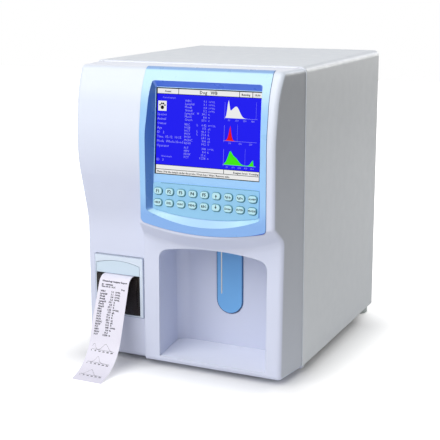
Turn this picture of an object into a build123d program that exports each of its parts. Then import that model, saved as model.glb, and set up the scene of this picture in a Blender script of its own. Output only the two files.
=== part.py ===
"""Bench-top hematology analyzer for a veterinary practice.

Everything is drawn in millimetres with Y = 0 at the lower front plane of the
cabinet, X = 0 in the middle of its width and Z = 0 on the bench. Saving a
piece moves it so that Y = 0 lies halfway along the whole object.
"""
import os
from math import cos, pi, radians, sin, tan

from build123d import *

os.makedirs("parts", exist_ok=True)

# Cabinet
body_width = 328.0
body_height = 437.0
body_depth = 388.0
seam_depth = 60.0
seam_gap = 0.4
sheet = 1.5
cover_step = 1.2
cover_drop = 2.5
cover_bottom = 13.0
cover_corner = 9.0
cover_edge = 1.0
flange = 12.0
shank_radius = 1.5
shank_length = 9.0
head_radius = 3.0
head_height = 1.6
head_seat = 0.02
panel_screw_radius = shank_radius + 0.1
screw_clearance = 0.1

# Moulded front
wall = 3.0
taper = 0.14
head_reach = 21.0
front_bottom = cover_bottom - sheet - wall
edge_radius = 7.0
tongue_length = 12.0
divider_left = 103.0 - body_width / 2
divider_right = divider_left + 10.0
zone_left = divider_left + 3.0
divider_slope = 0.35
nose_x = divider_right + 86.0
head_drop = 230.2
nose_z = body_height - head_drop
nose_radius = 304.0
nose_slope = 0.92
nose_fillet = 4.0
under_fillet = 14.0
lower_plane = 5.0
lower_reach = 33.2
column_plane = 8.5
brow_drop = 32.0
face_drop = 92.0
chin_drop = 134.0
column_drop = 227.0

# Sample bay
bay_left = divider_right + 17.0
bay_right = body_width / 2 - 32.0
bay_floor = 18.4
nose_lip = 22.8
bay_crown = nose_z - nose_lip
bay_shoulder_drop = 8.6
bay_corner = 14.0
bay_depth = 84.0
bay_flare = 10.0
bay_back_corner = 20.0

# Screen and keypad
bezel_left = divider_right + 2.0
bezel_right = body_width / 2 - 24.0
bezel_bottom = nose_z + 3.7
bezel_bottom_rise = 11.5
bezel_wrap = 10.0
bezel_gap = 0.4
bezel_proud = 0.6
bezel_wall = 3.0
screen_tilt = 4.8
panel_y = -15.6
panel_z = bezel_bottom + 21.5
recess_wall = 2.0
recess_left = -33.0
recess_right = 127.5
recess_height = 177.0
recess_side = 8.5
recess_corner = 4.0
flare_left = 7.5
flare_right = 4.0
flare_top = 35.0
flare_side = 1.5
flare_bottom = 10.6
screen_left = -32.0
screen_low = 57.2
screen_width = 158.0
screen_height = 119.0
lcd_border = 4.0
lcd_thickness = 9.0
key_rows = 2
key_columns = 9
key_width = 12.8
key_height = 9.8
key_corner = 4.2
key_pitch_x = 17.8
key_pitch_v = 15.9
key_first_x = -24.4
key_top_row = 34.1
key_proud = 1.8
key_travel = 0.8
key_gap = 0.3
key_flange = 0.8
key_chamfer = 0.7
overlay_thickness = 1.2
overlay_height = 46.0
keyboard_gap = 4.6
keyboard_thickness = 1.6

# Aspirate key and sample probe
aspirate_x = 39.5
aspirate_width = 41.0
aspirate_height = 113.0
aspirate_top = bay_crown - 3.0
aspirate_bottom = aspirate_top - aspirate_height
aspirate_proud = 2.0
aspirate_gap = 0.9
aspirate_pivot_depth = 92.0
aspirate_pivot_z = aspirate_top - 5.0
aspirate_plate = 3.0
lug_width = 5.0
wiper_nose_radius = 5.0
pivot_radius = 2.0
running_gap = 0.06
probe_depth = 55.0
probe_radius = 1.1
probe_hang = 78.0
probe_tip_z = bay_crown - probe_hang
carriage_z = bay_crown + 40.0
carriage_height = 20.0
rod_spacing = 36.0
rod_depth = 80.0
rod_radius = 3.0
screw_radius = 3.0

# Printer
printer_left = 20.8 - body_width / 2
printer_right = printer_left + 80.6
printer_bottom = 69.0
printer_top = 159.0
printer_face = 5.2
printer_gap = 0.5
door_left = printer_left + 2.6
door_right = door_left + 71.8
door_bottom = 72.4
door_top = 129.6
door_thickness = 3.8
door_pivot_y = 7.2
door_pivot_z = 74.6
door_pin = 1.4
door_play = 0.6
door_dome = 3.0
door_rim = 4.5
door_glass = 2.4
slot_height = 1.6
latch_crown = 151.0
latch_shoulder = 145.5
latch_thickness = 3.2
latch_pivot_y = 7.0
latch_pivot_z = 143.5
latch_pin = 1.2
printer_plate = 2.5
paper_width = 48.4
paper_middle = printer_left + 40.4
paper_thickness = 0.2
paper_reach = 92.0
roll_radius = 20.0
roll_core = 6.5
roll_depth = 47.0
roll_z = 100.0
platen_radius = 6.0
platen_shaft = 2.0
platen_depth = 22.0
compartment_depth = 80.0
compartment_wall = 2.0
gear_module = 0.8
platen_teeth = 26
pinion_teeth = 10
gear_width = 2.6
gear_gap = 0.6
gear_angle = 45.0
motor_radius = 12.0
motor_shaft = 1.5
motor_length = 12.0

# Inside
chassis_depth = 104.0
chassis_half = body_width / 2 - 6.0
chassis_top = body_height - 12.0
side_plate_x = 40.0 - chassis_half
side_plate_top = chassis_top - 25.0
bracket_low = bay_crown + 19.0
bracket_high = bracket_low + 142.0
bracket_sheet = 2.5
motor_side = 28.0
syringe_x = (chassis_half - 78.0, chassis_half - 48.0)
syringe_depth = 122.0
syringe_top = chassis_top - 145.0
syringe_bore = 8.0
plunger_play = 0.08
bath_x = (-40.0, 0.0)
bath_depth = 128.0
bath_radius = 14.0
bath_z = 165.0
valve_z = chassis_top - 101.0
pump_z = 42.0
pump_depth = 300.0
supply_x = (body_width / 2 - 134.0, body_width / 2 - 14.0)
supply_depth = (250.0, 375.0)
supply_top = 75.0
board_thickness = 1.6
board_gap = 1.9
board_bottom = 120.0
board_top = side_plate_top - 20.0
board_front = 150.0
board_back = 380.0

# Back
connector_reach = 14.0
hose_radius = 3.0
hose_bore = 1.8
hose_length = 12.0
hose_collar = 6.0
hose_nut = 4.0
hose_z = 60.0
hose_x = (-70.0, -50.0, -30.0, -10.0)
fan_x = 70.0
fan_z = body_height - 107.0
fan_side = 80.0
fan_thickness = 25.0
fan_bore = 37.0
fan_blades = 7
inlet_x = 110.0
inlet_z = 104.0
inlet_flange = 2.5
rocker_z = 129.0
rocker_angle = 8.0
rocker_rise = 2.0
port_x = side_plate_x - 12.0
foot_radius = 15.0
foot_recess = 4.5
front_foot = (body_width / 2 - 36.0, 42.0)
back_foot = (body_width / 2 - 18.0, body_depth - 17.0)

tray_z = cover_bottom - sheet
front_y = (paper_reach - body_depth - connector_reach) / 2
half_width = body_width / 2
moulding_half = half_width - cover_step
moulding_top = body_height - cover_drop
inner_half = half_width - sheet
panel_depth = body_depth - sheet
chassis_back = chassis_depth + sheet


def save(name, *solids):
    """Write the solids of one piece, moved to the frame whose Y = 0 is mid-length."""
    moved = [Pos(0, front_y, 0) * solid for solid in solids]
    piece = moved[0] if len(moved) == 1 else Compound(children=moved)
    export_step(piece, "parts/" + name + ".step")


def block(x, y, z):
    """A box given by its (low, high) limits along each axis."""
    size = [high - low for low, high in (x, y, z)]
    middle = [(low + high) / 2 for low, high in (x, y, z)]
    return Pos(*middle) * Box(*size)


def slab(sketch, y):
    """Extrude a sketch drawn in X and Z between two depths (low, high)."""
    plane = Plane(origin=(0, y[1], 0), x_dir=(1, 0, 0), z_dir=(0, -1, 0))
    return extrude(plane * sketch, y[1] - y[0])


def rounded_block(x, y, z, radius):
    """A box whose four edges along Y are rounded."""
    sketch = RectangleRounded(x[1] - x[0], z[1] - z[0], radius)
    return slab(Pos((x[0] + x[1]) / 2, (z[0] + z[1]) / 2) * sketch, y)


def rod(start, direction, length, radius, bore=0.0):
    """A round bar or tube that leaves start along direction."""
    plane = Plane(origin=start, z_dir=direction)
    bar = extrude(plane * Circle(radius), length)
    if bore > 0:
        bar -= extrude(plane * Circle(bore), length)
    return bar


def side_profile(corners, radii, grow):
    """Closed outline in Y and Z, grown outwards by grow."""
    outline = make_face(FilletPolyline(*corners, radius=radii, close=True))
    if grow != 0:
        outline = offset(outline, grow, kind=Kind.INTERSECTION)
    return outline


def head_section(depth, grow):
    """Outline in X and Z of the head at one depth; its lower edge is an arc."""
    back_step = depth + head_reach
    low_x = divider_right - divider_slope * back_step - grow
    high_x = half_width + 10
    crown = nose_z - nose_slope * back_step - 1.4 * grow
    low_end = crown + (low_x - nose_x) ** 2 / (2 * nose_radius)
    high_end = crown + (high_x - nose_x) ** 2 / (2 * nose_radius)
    belly = ThreePointArc((low_x, low_end), (nose_x, crown), (high_x, high_end))
    high_side = Line(belly @ 1, (high_x, body_height + 20))
    top = Line(high_side @ 1, (low_x, body_height + 20))
    low_side = Line(top @ 1, belly @ 0)
    plane = Plane(origin=(0, depth, 0), x_dir=(1, 0, 0), z_dir=(0, -1, 0))
    return plane * make_face([belly, high_side, top, low_side])


def front_form(grow, back, half):
    """The whole moulded front as a solid, from the nose back to a depth.

    The left column sweeps back in one curve. The head of the right zone keeps
    its bulge down to an arched nose and slants under to the lower plane.
    """
    brow = (-12, body_height - brow_drop)
    face = (-head_reach, body_height - face_drop)
    shared = [(back, moulding_top), (4, moulding_top), brow, face]
    chin = (-head_reach, body_height - chin_drop)
    neck = (column_plane, body_height - column_drop)
    left = shared + [chin, neck, (6, front_bottom), (back, front_bottom)]
    head = shared + [(-head_reach, front_bottom), (back, front_bottom)]
    lower_top = nose_z + lower_reach
    low = [(back, lower_top), (lower_plane, lower_top), (-1.5, front_bottom), (back, front_bottom)]
    left_face = side_profile(left, [0, 10, 100, 200, 150, 120, 8, 0], grow)
    head_face = side_profile(head, [0, 10, 100, 200, 0, 0], grow)
    low_face = side_profile(low, [0, 0, 8, 0], grow)
    column_end = divider_right + 5
    column = extrude(Plane.YZ.offset(-half_width) * left_face, half_width + column_end)
    front = -head_reach - 10
    head_block = extrude(Plane.YZ.offset(divider_left - 5) * head_face, half_width - divider_left + 5)
    head_block &= loft([head_section(front, grow), head_section(back + 5, grow)], ruled=True)
    zone = extrude(Plane.YZ.offset(divider_left - 5) * low_face, half_width - divider_left + 5)
    step = Polygon(
        (zone_left + 8 - grow, front), (half_width, front), (half_width, back + 5),
        (zone_left - 2 - grow, back + 5), (zone_left - 2 - grow, column_plane), align=None,
    )
    zone &= extrude(step, body_height)
    narrow = half + grow - taper * (seam_depth - front)
    wide = half + grow
    plan = Polygon(
        (-narrow, front), (narrow, front), (wide, seam_depth), (wide, back + 5),
        (-wide, back + 5), (-wide, seam_depth), align=None,
    )
    return (column + head_block + zone) & extrude(plan, body_height)


def bay_form(grow):
    """The sample bay's hollow, grown outwards by grow."""
    def section(depth):
        spread = bay_flare * depth / bay_depth
        low_x = bay_left - spread - grow
        high_x = bay_right + spread / 4 + grow
        shoulder = bay_crown - bay_shoulder_drop + grow
        crown_x = (bay_left + bay_right) / 2 - 7
        sill = Line((low_x, bay_floor - grow), (high_x, bay_floor - grow))
        right_side = Line(sill @ 1, (high_x, shoulder))
        arch = ThreePointArc(right_side @ 1, (crown_x, bay_crown + grow), (low_x, shoulder))
        left_side = Line(arch @ 1, sill @ 0)
        face = make_face([sill, right_side, arch, left_side])
        corners = face.vertices().sort_by(Axis.Y)
        face = fillet(corners[2:], bay_corner + grow)
        plane = Plane(origin=(0, depth, 0), x_dir=(1, 0, 0), z_dir=(0, -1, 0))
        return plane * face

    hollow = loft([section(-head_reach - 10), section(bay_depth + grow)], ruled=True)
    reach = half_width
    plan = Polygon(
        (-reach, -reach), (reach, -reach), (reach, bay_depth + grow),
        (bay_left - bay_flare - grow, bay_depth + grow),
        (bay_left - bay_flare - grow, 0), (-reach, 0), align=None,
    )
    edge = plan.vertices().sort_by_distance((bay_left - bay_flare - grow, bay_depth + grow))[0]
    plan = fillet(edge, bay_back_corner + grow)
    return hollow & extrude(plan, body_height)


def cover_outline(grow):
    """Cover section in X and Z, open below, grown outwards by grow."""
    radius = max(cover_corner + grow, 1)
    half = half_width + grow
    outline = Pos(0, body_height / 2 + grow) * RectangleRounded(
        2 * half, body_height, radius
    )
    return outline + Pos(0, body_height / 4) * Rectangle(2 * half, body_height / 2)


panel = Plane(
    origin=(0, panel_y, panel_z), x_dir=(1, 0, 0),
    z_dir=(0, -cos(radians(screen_tilt)), sin(radians(screen_tilt))),
)
upright = Plane(origin=(0, 0, 0), x_dir=(1, 0, 0), z_dir=(0, -1, 0))


def on_panel(sketch, low, high):
    """Extrude a sketch drawn on the tilted panel between two heights."""
    return extrude(panel.offset(low) * sketch, high - low)


def arched_outline(low_x, high_x, top, side, belly, radius):
    """Rectangle whose lower edge sags in an arc, with rounded corners."""
    top_edge = Line((low_x, top), (high_x, top))
    right_side = Line(top_edge @ 1, (high_x, side))
    sag = ThreePointArc(right_side @ 1, ((low_x + high_x) / 2, belly), (low_x, side))
    left_side = Line(sag @ 1, top_edge @ 0)
    return fillet(make_face([top_edge, right_side, sag, left_side]).vertices(), radius)


def bezel_outline(grow):
    """Outline of the blue screen surround in X and Z."""
    side = bezel_bottom + bezel_bottom_rise - grow
    return arched_outline(
        bezel_left - grow, bezel_right + grow, body_height + 20, side, bezel_bottom - grow, 8 + grow
    )


def recess_form(grow):
    """The sunk window round screen and keys: a flared hollow with a tilted floor."""
    floor = arched_outline(
        recess_left - grow, recess_right + grow, recess_height + grow,
        recess_side - grow, -grow, recess_corner,
    )
    mouth = arched_outline(
        recess_left - flare_left - grow, recess_right + flare_right + grow,
        panel_z + recess_height + flare_top + grow,
        panel_z + recess_side - flare_side - grow, panel_z - flare_bottom - grow, recess_corner + 2,
    )
    front = upright.offset(head_reach)
    flare = loft([panel.offset(-grow) * floor, front * mouth], ruled=True)
    return flare + extrude(front * mouth, 20)


def key_centres():
    """Row, column and place on the panel of each key."""
    for row in range(key_rows):
        for column in range(key_columns):
            x = key_first_x + column * key_pitch_x
            v = key_top_row - row * key_pitch_v
            yield row + 1, column + 1, x, v


def key_shape(grow):
    """Rounded outline of one key."""
    return RectangleRounded(key_width + 2 * grow, key_height + 2 * grow, key_corner + grow)


def aspirate_outline(grow):
    """Plate with a half-round lower end."""
    radius = aspirate_width / 2 + grow
    centre_z = aspirate_bottom - grow + radius
    straight = aspirate_top + grow - centre_z
    plate = Pos(aspirate_x, centre_z + straight / 2) * Rectangle(2 * radius, straight)
    return plate + Pos(aspirate_x, centre_z) * Circle(radius)


def gear(teeth, place, width):
    """Straight gear on an X axis; flanks are straight and backlash is generous."""
    pitch = gear_module * teeth / 2
    tip = pitch + 0.75 * gear_module
    root = pitch - 1.05 * gear_module
    step = 2 * pi / teeth
    outline = []
    for tooth in range(teeth):
        middle = tooth * step
        for reach, share in ((root, -0.36), (tip, -0.13), (tip, 0.13), (root, 0.36)):
            angle = middle + share * step
            outline.append((reach * cos(angle), reach * sin(angle)))
    plane = Plane(origin=place, x_dir=(0, 1, 0), z_dir=(1, 0, 0))
    return extrude(plane * Polygon(*outline, align=None), width)


# Moulded front: a thin shell with the bay hung inside it
def side_edges(solid, side):
    """The long edge where the front turns into one side."""
    inner_limit = moulding_half - taper * (seam_depth + head_reach + 2)
    return [
        edge for edge in solid.edges()
        if side * edge.center().X > inner_limit
        and edge.center().Y < seam_depth - 1
        and edge.center().Z > front_bottom + 1
    ]


def long_edge(solid, depth, low_z, high_z):
    """The arched edge across the right zone at a depth."""
    return [
        edge for edge in solid.edges()
        if abs(edge.center().Y - depth) < 2 and low_z < edge.center().Z < high_z
        and edge.length > nose_x + half_width / 2
    ]


shell = front_form(0, seam_depth, moulding_half)
shell = fillet(long_edge(shell, lower_plane, bay_floor, nose_z + 8), under_fillet)
shell = fillet(side_edges(shell, 1), edge_radius)
shell = fillet(side_edges(shell, -1), edge_radius)
shell = fillet(long_edge(shell, -head_reach, nose_z - 5, nose_z + 30), nose_fillet)
tongue = front_form(-screw_clearance, seam_depth + tongue_length, inner_half - screw_clearance)
tongue &= slab(cover_outline(-sheet - screw_clearance), (seam_depth, body_depth))
hollow = front_form(-wall, seam_depth + tongue_length + 20, moulding_half)
bay_wall = bay_form(wall) & block(
    (-half_width, half_width), (0, bay_depth + wall), (front_bottom, body_height)
)
front_housing = shell + tongue - hollow + (bay_wall & front_form(0, body_depth, moulding_half))
front_housing -= bay_form(0)
bezel_reach = (-head_reach - 10, bezel_wrap + bezel_gap)
front_housing -= slab(bezel_outline(bezel_gap), bezel_reach)

# The bay's back wall is open for the aspirate key, its ceiling for the probe
front_housing -= slab(aspirate_outline(aspirate_gap), (bay_depth - 1, bay_depth + wall + 1))
front_housing -= rod(
    (aspirate_x, probe_depth, bay_crown - 12), (0, 0, 1), 20, wiper_nose_radius + aspirate_gap
)
lug_inner = aspirate_width / 2 + aspirate_gap + 1.5
for start in (aspirate_x - lug_inner - lug_width, aspirate_x + lug_inner):
    lug = block(
        (start, start + lug_width), (bay_depth + wall, aspirate_pivot_depth + 5),
        (aspirate_pivot_z - 5, aspirate_pivot_z + 5),
    )
    pivot_start = (start, aspirate_pivot_depth, aspirate_pivot_z)
    front_housing += lug - rod(pivot_start, (1, 0, 0), lug_width, pivot_radius + running_gap)

# Stand-off posts reach back to the chassis plate
post_inset = 12
for x in (bay_left + post_inset, bay_right - post_inset - 8):
    for z in (bay_floor + post_inset + 4, bay_crown - post_inset - 12):
        post_start = (x, bay_depth + wall, z)
        front_housing += rod(post_start, (0, 1, 0), chassis_depth - bay_depth - wall, 4)

# Opening for the printer
printer_hole = (printer_left - printer_gap, printer_right + printer_gap)
printer_hole_z = (printer_bottom - printer_gap, printer_top + printer_gap)
front_housing -= rounded_block(printer_hole, (-5, 22), printer_hole_z, 2)
save("front_housing", front_housing)

# Blue surround: a skin that follows the head, and a tub sunk behind it
skin = front_form(bezel_proud, body_depth, moulding_half)
skin -= front_form(bezel_proud - bezel_wall, body_depth + 10, moulding_half)
bezel = skin & slab(bezel_outline(0), (-head_reach - 10, bezel_wrap))
bezel += recess_form(recess_wall) & front_form(bezel_proud, body_depth, moulding_half)
bezel -= recess_form(0)
screen_middle = (screen_left + screen_width / 2, screen_low + screen_height / 2)
window = Pos(*screen_middle) * Rectangle(screen_width, screen_height)
bezel -= on_panel(window, -recess_wall - 1, 1)
for row, column, x, v in key_centres():
    bezel -= on_panel(Pos(x, v) * key_shape(key_gap), -recess_wall - 1, 1)
board_post = 2.0
for x in (recess_left + 13, (recess_left + recess_right) / 2, recess_right - 13):
    for v in (recess_side + 0.8, overlay_height - 3):
        bezel += on_panel(Pos(x, v) * Circle(board_post), -keyboard_gap, -recess_wall)
save("screen_bezel", bezel)

lcd_outline = Pos(*screen_middle) * Rectangle(
    screen_width + 2 * lcd_border, screen_height + 2 * lcd_border
)
lcd = on_panel(lcd_outline, -recess_wall - lcd_thickness, -recess_wall)
backlight = Pos(*screen_middle) * Rectangle(screen_width - 30, screen_height - 30)
lcd += on_panel(backlight, -recess_wall - lcd_thickness - 3, -recess_wall - lcd_thickness)
save("lcd_display", lcd)

# Keypad: overlay in the tub, keys through it, switch board behind
overlay = arched_outline(
    recess_left + key_gap, recess_right - key_gap, overlay_height,
    recess_side + key_gap, key_gap, recess_corner - key_gap,
)
overlay = on_panel(overlay, 0, overlay_thickness)
for row, column, x, v in key_centres():
    overlay -= on_panel(Pos(x, v) * key_shape(key_gap), -1, overlay_thickness + 1)
save("keypad_overlay", overlay)

key_back = -recess_wall - 0.2
key_front = overlay_thickness + key_proud
for row, column, x, v in key_centres():
    cap = on_panel(Pos(x, v) * key_shape(0), key_back, key_front)
    front_rim = cap.faces().sort_by(Axis((0, 0, 0), panel.z_dir))[-1].edges()
    cap = chamfer(front_rim, key_chamfer)
    cap += on_panel(Pos(x, v) * key_shape(key_flange), key_back - key_flange, key_back)
    save(f"key_{row}_{column}", cap)

board = on_panel(
    Pos((recess_left + recess_right) / 2, (overlay_height + recess_side) / 2 - 2)
    * Rectangle(recess_right - recess_left - 4, overlay_height - recess_side + 3),
    -keyboard_gap - keyboard_thickness, -keyboard_gap,
)
switch_height = keyboard_gap + key_back - key_flange - key_travel - 0.1
for row, column, x, v in key_centres():
    board += on_panel(Pos(x, v) * Circle(2.5), -keyboard_gap, switch_height - keyboard_gap)
save("keypad_board", board)

# Aspirate key: a paddle hung on two pivots behind the bay's back wall
paddle_front = bay_depth - aspirate_proud
paddle = slab(aspirate_outline(0), (paddle_front, paddle_front + aspirate_plate))
paddle = fillet(paddle.faces().sort_by(Axis.Y)[0].edges(), 1.2)
rim = aspirate_outline(-0.5) - aspirate_outline(-2.5)
paddle += slab(rim, (paddle_front + aspirate_plate, bay_depth + wall))
pin_half = lug_inner + lug_width - 0.5
for x in (aspirate_x - 12, aspirate_x + 12):
    paddle += block(
        (x - 2, x + 2), (paddle_front + aspirate_plate, aspirate_pivot_depth),
        (aspirate_pivot_z - 3, aspirate_pivot_z + 3),
    )
pin_start = (aspirate_x - pin_half, aspirate_pivot_depth, aspirate_pivot_z)
paddle += rod(pin_start, (1, 0, 0), 2 * pin_half, pivot_radius)
save("aspirate_key", paddle)

switch_z = aspirate_bottom + 30
switch = block(
    (aspirate_x - 10, aspirate_x + 10), (chassis_depth - 7, chassis_depth), (switch_z, switch_z + 16)
)
plunger_reach = chassis_depth - 7 - (bay_depth + wall) - 5
switch += rod(
    (aspirate_x, chassis_depth - 7, switch_z + 8), (0, -1, 0), plunger_reach, 1.5
)
save("aspirate_switch", switch)

# Sample probe and its lift
rod_places = (aspirate_x - rod_spacing / 2, aspirate_x + rod_spacing / 2)
probe_top = carriage_z + carriage_height + 8
probe_start = (aspirate_x, probe_depth, probe_tip_z + 2)
probe = rod(probe_start, (0, 0, 1), probe_top - probe_start[2], probe_radius)
tip = Plane(origin=(aspirate_x, probe_depth, probe_tip_z), z_dir=(0, 0, 1))
probe += loft([tip * Circle(0.5), tip.offset(2) * Circle(probe_radius)])
probe += rod((aspirate_x, probe_depth, carriage_z + carriage_height), (0, 0, 1), 3, 3)
save("sample_probe", probe)

carriage = block(
    (aspirate_x - 26, aspirate_x + 26), (probe_depth - 6, rod_depth + 8),
    (carriage_z, carriage_z + carriage_height),
)
carriage = fillet(carriage.edges().filter_by(Axis.Z), 4)
carriage -= block(
    (aspirate_x - 27, aspirate_x - 10), (0, rod_depth - 9), (carriage_z - 1, carriage_z + 40)
)
carriage -= block(
    (aspirate_x + 10, aspirate_x + 27), (0, rod_depth - 9), (carriage_z - 1, carriage_z + 40)
)
for x in rod_places:
    carriage -= rod((x, rod_depth, 0), (0, 0, 1), body_height, rod_radius + running_gap)
carriage -= rod((aspirate_x, rod_depth, 0), (0, 0, 1), body_height, screw_radius + running_gap)
carriage -= rod((aspirate_x, probe_depth, 0), (0, 0, 1), body_height, probe_radius + 0.03)
save("probe_carriage", carriage)

guide_length = bracket_high + bracket_sheet - bracket_low
guide_rods = [
    rod((x, rod_depth, bracket_low), (0, 0, 1), guide_length, rod_radius) for x in rod_places
]
save("probe_guide_rods", *guide_rods)

screw_start = (aspirate_x, rod_depth, bracket_low + 0.3)
lift_screw = rod(screw_start, (0, 0, 1), guide_length + 6 - 0.3, screw_radius)
save("lift_screw", lift_screw)

motor_base = bracket_high + bracket_sheet
lift_motor = block(
    (aspirate_x - motor_side / 2, aspirate_x + motor_side / 2),
    (rod_depth - motor_side / 2, rod_depth + motor_side / 2), (motor_base, motor_base + 32),
)
lift_motor = chamfer(lift_motor.edges().filter_by(Axis.Z), 3)
lift_motor -= rod((aspirate_x, rod_depth, motor_base), (0, 0, 1), 7, screw_radius + running_gap)
save("lift_motor", lift_motor)

wiper_base = bay_crown + wall + 0.3
wiper = block(
    (aspirate_x - 9, aspirate_x + 9), (probe_depth - 9, rod_depth - 6), (wiper_base, bracket_low)
)
wiper_start = (aspirate_x, probe_depth, bay_crown - 3)
wiper += rod(wiper_start, (0, 0, 1), wiper_base - wiper_start[2], wiper_nose_radius)
wiper -= rod((aspirate_x, probe_depth, 0), (0, 0, 1), body_height, probe_radius + 0.08)
save("probe_wiper", wiper)

# Printer: frame and paper compartment
door_middle = (door_left + door_right) / 2


def arched_top(low_x, high_x, bottom, shoulder, crown):
    """Rectangle with an arched upper edge, in X and Z."""
    base = Line((low_x, bottom), (high_x, bottom))
    right_side = Line(base @ 1, (high_x, shoulder))
    arch = ThreePointArc(right_side @ 1, ((low_x + high_x) / 2, crown), (low_x, shoulder))
    left_side = Line(arch @ 1, base @ 0)
    return make_face([base, right_side, arch, left_side])


inner_left = door_left - door_play
inner_right = door_right + door_play
inner_floor = door_bottom - 2 * door_play
inner_roof = latch_crown + 1.6
plate_back = printer_face + printer_plate
printer = rounded_block(
    (printer_left, printer_right), (printer_face, plate_back), (printer_bottom, printer_top), 1.5
)
printer += block(
    (inner_left - compartment_wall, inner_right + compartment_wall), (plate_back, compartment_depth),
    (inner_floor - compartment_wall, inner_roof + compartment_wall),
)
printer -= block(
    (inner_left, inner_right), (plate_back, compartment_depth - compartment_wall),
    (inner_floor, inner_roof),
)
printer -= slab(
    arched_top(inner_left, inner_right, inner_floor, latch_shoulder + door_play, latch_crown + door_play),
    (printer_face - 1, plate_back + 0.01),
)
platen_z = door_top + slot_height / 2 - paper_thickness / 2 - 0.3 - platen_radius
for y, z, radius in (
    (door_pivot_y, door_pivot_z, door_pin), (latch_pivot_y, latch_pivot_z, latch_pin),
):
    printer -= rod(
        (inner_left - 1.9, y, z), (1, 0, 0), inner_right - inner_left + 3.8, radius + running_gap
    )
printer -= rod(
    (inner_left - 5, platen_depth, platen_z), (1, 0, 0), inner_right - inner_left + 10,
    platen_shaft + running_gap,
)
roll_half = paper_width / 2
for wall_x, direction in ((inner_left, 1), (inner_right, -1)):
    shoulder_length = abs(paper_middle - wall_x) - roll_half - 0.5
    printer += rod((wall_x, roll_depth, roll_z), (direction, 0, 0), shoulder_length, roll_core + 3)
    stub_radius = roll_core - running_gap
    printer += rod((wall_x, roll_depth, roll_z), (direction, 0, 0), shoulder_length + 7, stub_radius)
save("printer_housing", printer)

# Smoked door: flat rim, domed middle, pivots moulded on its lower corners
door_face = (printer_face, printer_face + door_thickness)
door = block((door_left, door_right), door_face, (door_bottom, door_top))
dome_half = (door_right - door_left) / 2 - door_rim
dome_z = (door_bottom + door_top) / 2
dome_corner = (dome_half ** 2 + ((door_top - door_bottom) / 2 - door_rim) ** 2) ** 0.5
dome_radius = (dome_corner ** 2 + door_dome ** 2) / (2 * door_dome)
dome_centre = (door_middle, printer_face - door_dome + dome_radius, dome_z)
dome_x = (door_left + door_rim, door_right - door_rim)
dome_height = (door_bottom + door_rim, door_top - door_rim)
door += Pos(*dome_centre) * Sphere(dome_radius) & block(
    dome_x, (printer_face - door_dome - 1, printer_face + 1), dome_height
)
door -= Pos(*dome_centre) * Sphere(dome_radius - door_glass) & block(
    dome_x, (printer_face - door_dome, door_face[1] + 1), dome_height
)
for start, direction in ((door_left, -1), (door_right, 1)):
    pin_start = (start - direction * 0.5, door_pivot_y, door_pivot_z)
    door += rod(pin_start, (direction, 0, 0), 2.6, door_pin)
save("printer_door", door)

latch_bottom = door_top + slot_height
latch = slab(
    arched_top(door_left, door_right, latch_bottom, latch_shoulder, latch_crown),
    (printer_face, printer_face + latch_thickness),
)
latch = fillet(latch.faces().sort_by(Axis.Y)[0].edges().sort_by(Axis.Z)[:1], 0.8)
for start, direction in ((door_left, -1), (door_right, 1)):
    pin_start = (start - direction * 0.5, latch_pivot_y, latch_pivot_z)
    latch += rod(pin_start, (direction, 0, 0), 2.4, latch_pin)
save("printer_latch", latch)

# Roll, platen, gears and motor
roll_start = (paper_middle - roll_half, roll_depth, roll_z)
roll = rod(roll_start, (1, 0, 0), paper_width, roll_radius, roll_core)
save("paper_roll", roll)

platen_left = paper_middle - roll_half - 2
platen = rod((platen_left, platen_depth, platen_z), (1, 0, 0), paper_width + 4, platen_radius)
gear_x = inner_right + compartment_wall + gear_gap
platen += rod(
    (inner_left - compartment_wall + 0.3, platen_depth, platen_z), (1, 0, 0),
    gear_x + gear_width - inner_left + compartment_wall - 0.3, platen_shaft,
)
platen += gear(platen_teeth, (gear_x, platen_depth, platen_z), gear_width)
save("platen_roller", platen)

gear_distance = gear_module * (platen_teeth + pinion_teeth) / 2
pinion_depth = platen_depth + gear_distance * cos(radians(gear_angle))
pinion_z = platen_z + gear_distance * sin(radians(gear_angle))
# Turn the pinion so that a gap between its teeth meets the platen's tooth
tooth_offset = gear_angle * platen_teeth / 360 % 1
pinion_turn = 180 + gear_angle + (tooth_offset + 0.5) * 360 / pinion_teeth
motor_x = gear_x + gear_width + gear_gap
pinion = gear(pinion_teeth, (gear_x, 0, 0), gear_width)
pinion += rod((gear_x, 0, 0), (1, 0, 0), gear_width + gear_gap + motor_length - 4, motor_shaft)
pinion = Pos(0, pinion_depth, pinion_z) * Rot(pinion_turn, 0, 0) * pinion
save("motor_pinion", pinion)

motor = rod((motor_x, pinion_depth, pinion_z), (1, 0, 0), motor_length, motor_radius)
ear_reach = motor_radius + 5
ear_plane = Plane(origin=(motor_x, pinion_depth, pinion_z), x_dir=(0, 1, 0), z_dir=(1, 0, 0))
motor += extrude(ear_plane * Rot(0, 0, gear_angle + 90) * SlotOverall(2 * ear_reach + 6, 6), 1.5)
wall_face = inner_right + compartment_wall
for turn in (gear_angle + 90, gear_angle - 90):
    ear_y = pinion_depth + ear_reach * cos(radians(turn))
    ear_z = pinion_z + ear_reach * sin(radians(turn))
    motor += rod((wall_face, ear_y, ear_z), (1, 0, 0), motor_x - wall_face, 2.5)
motor_start = (motor_x, pinion_depth, pinion_z)
motor -= rod(motor_start, (1, 0, 0), motor_length - 3, motor_shaft + running_gap)
save("printer_motor", motor)

head_bottom = door_top + slot_height / 2 + paper_thickness / 2 + 0.3
print_head = block(
    (platen_left, platen_left + paper_width + 4), (platen_depth - 5, platen_depth + 7),
    (head_bottom, head_bottom + 8),
)
print_head += block(
    (paper_middle - 12, paper_middle + 12), (platen_depth - 2, platen_depth + 5),
    (head_bottom + 8, inner_roof),
)
save("print_head", print_head)

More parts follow.
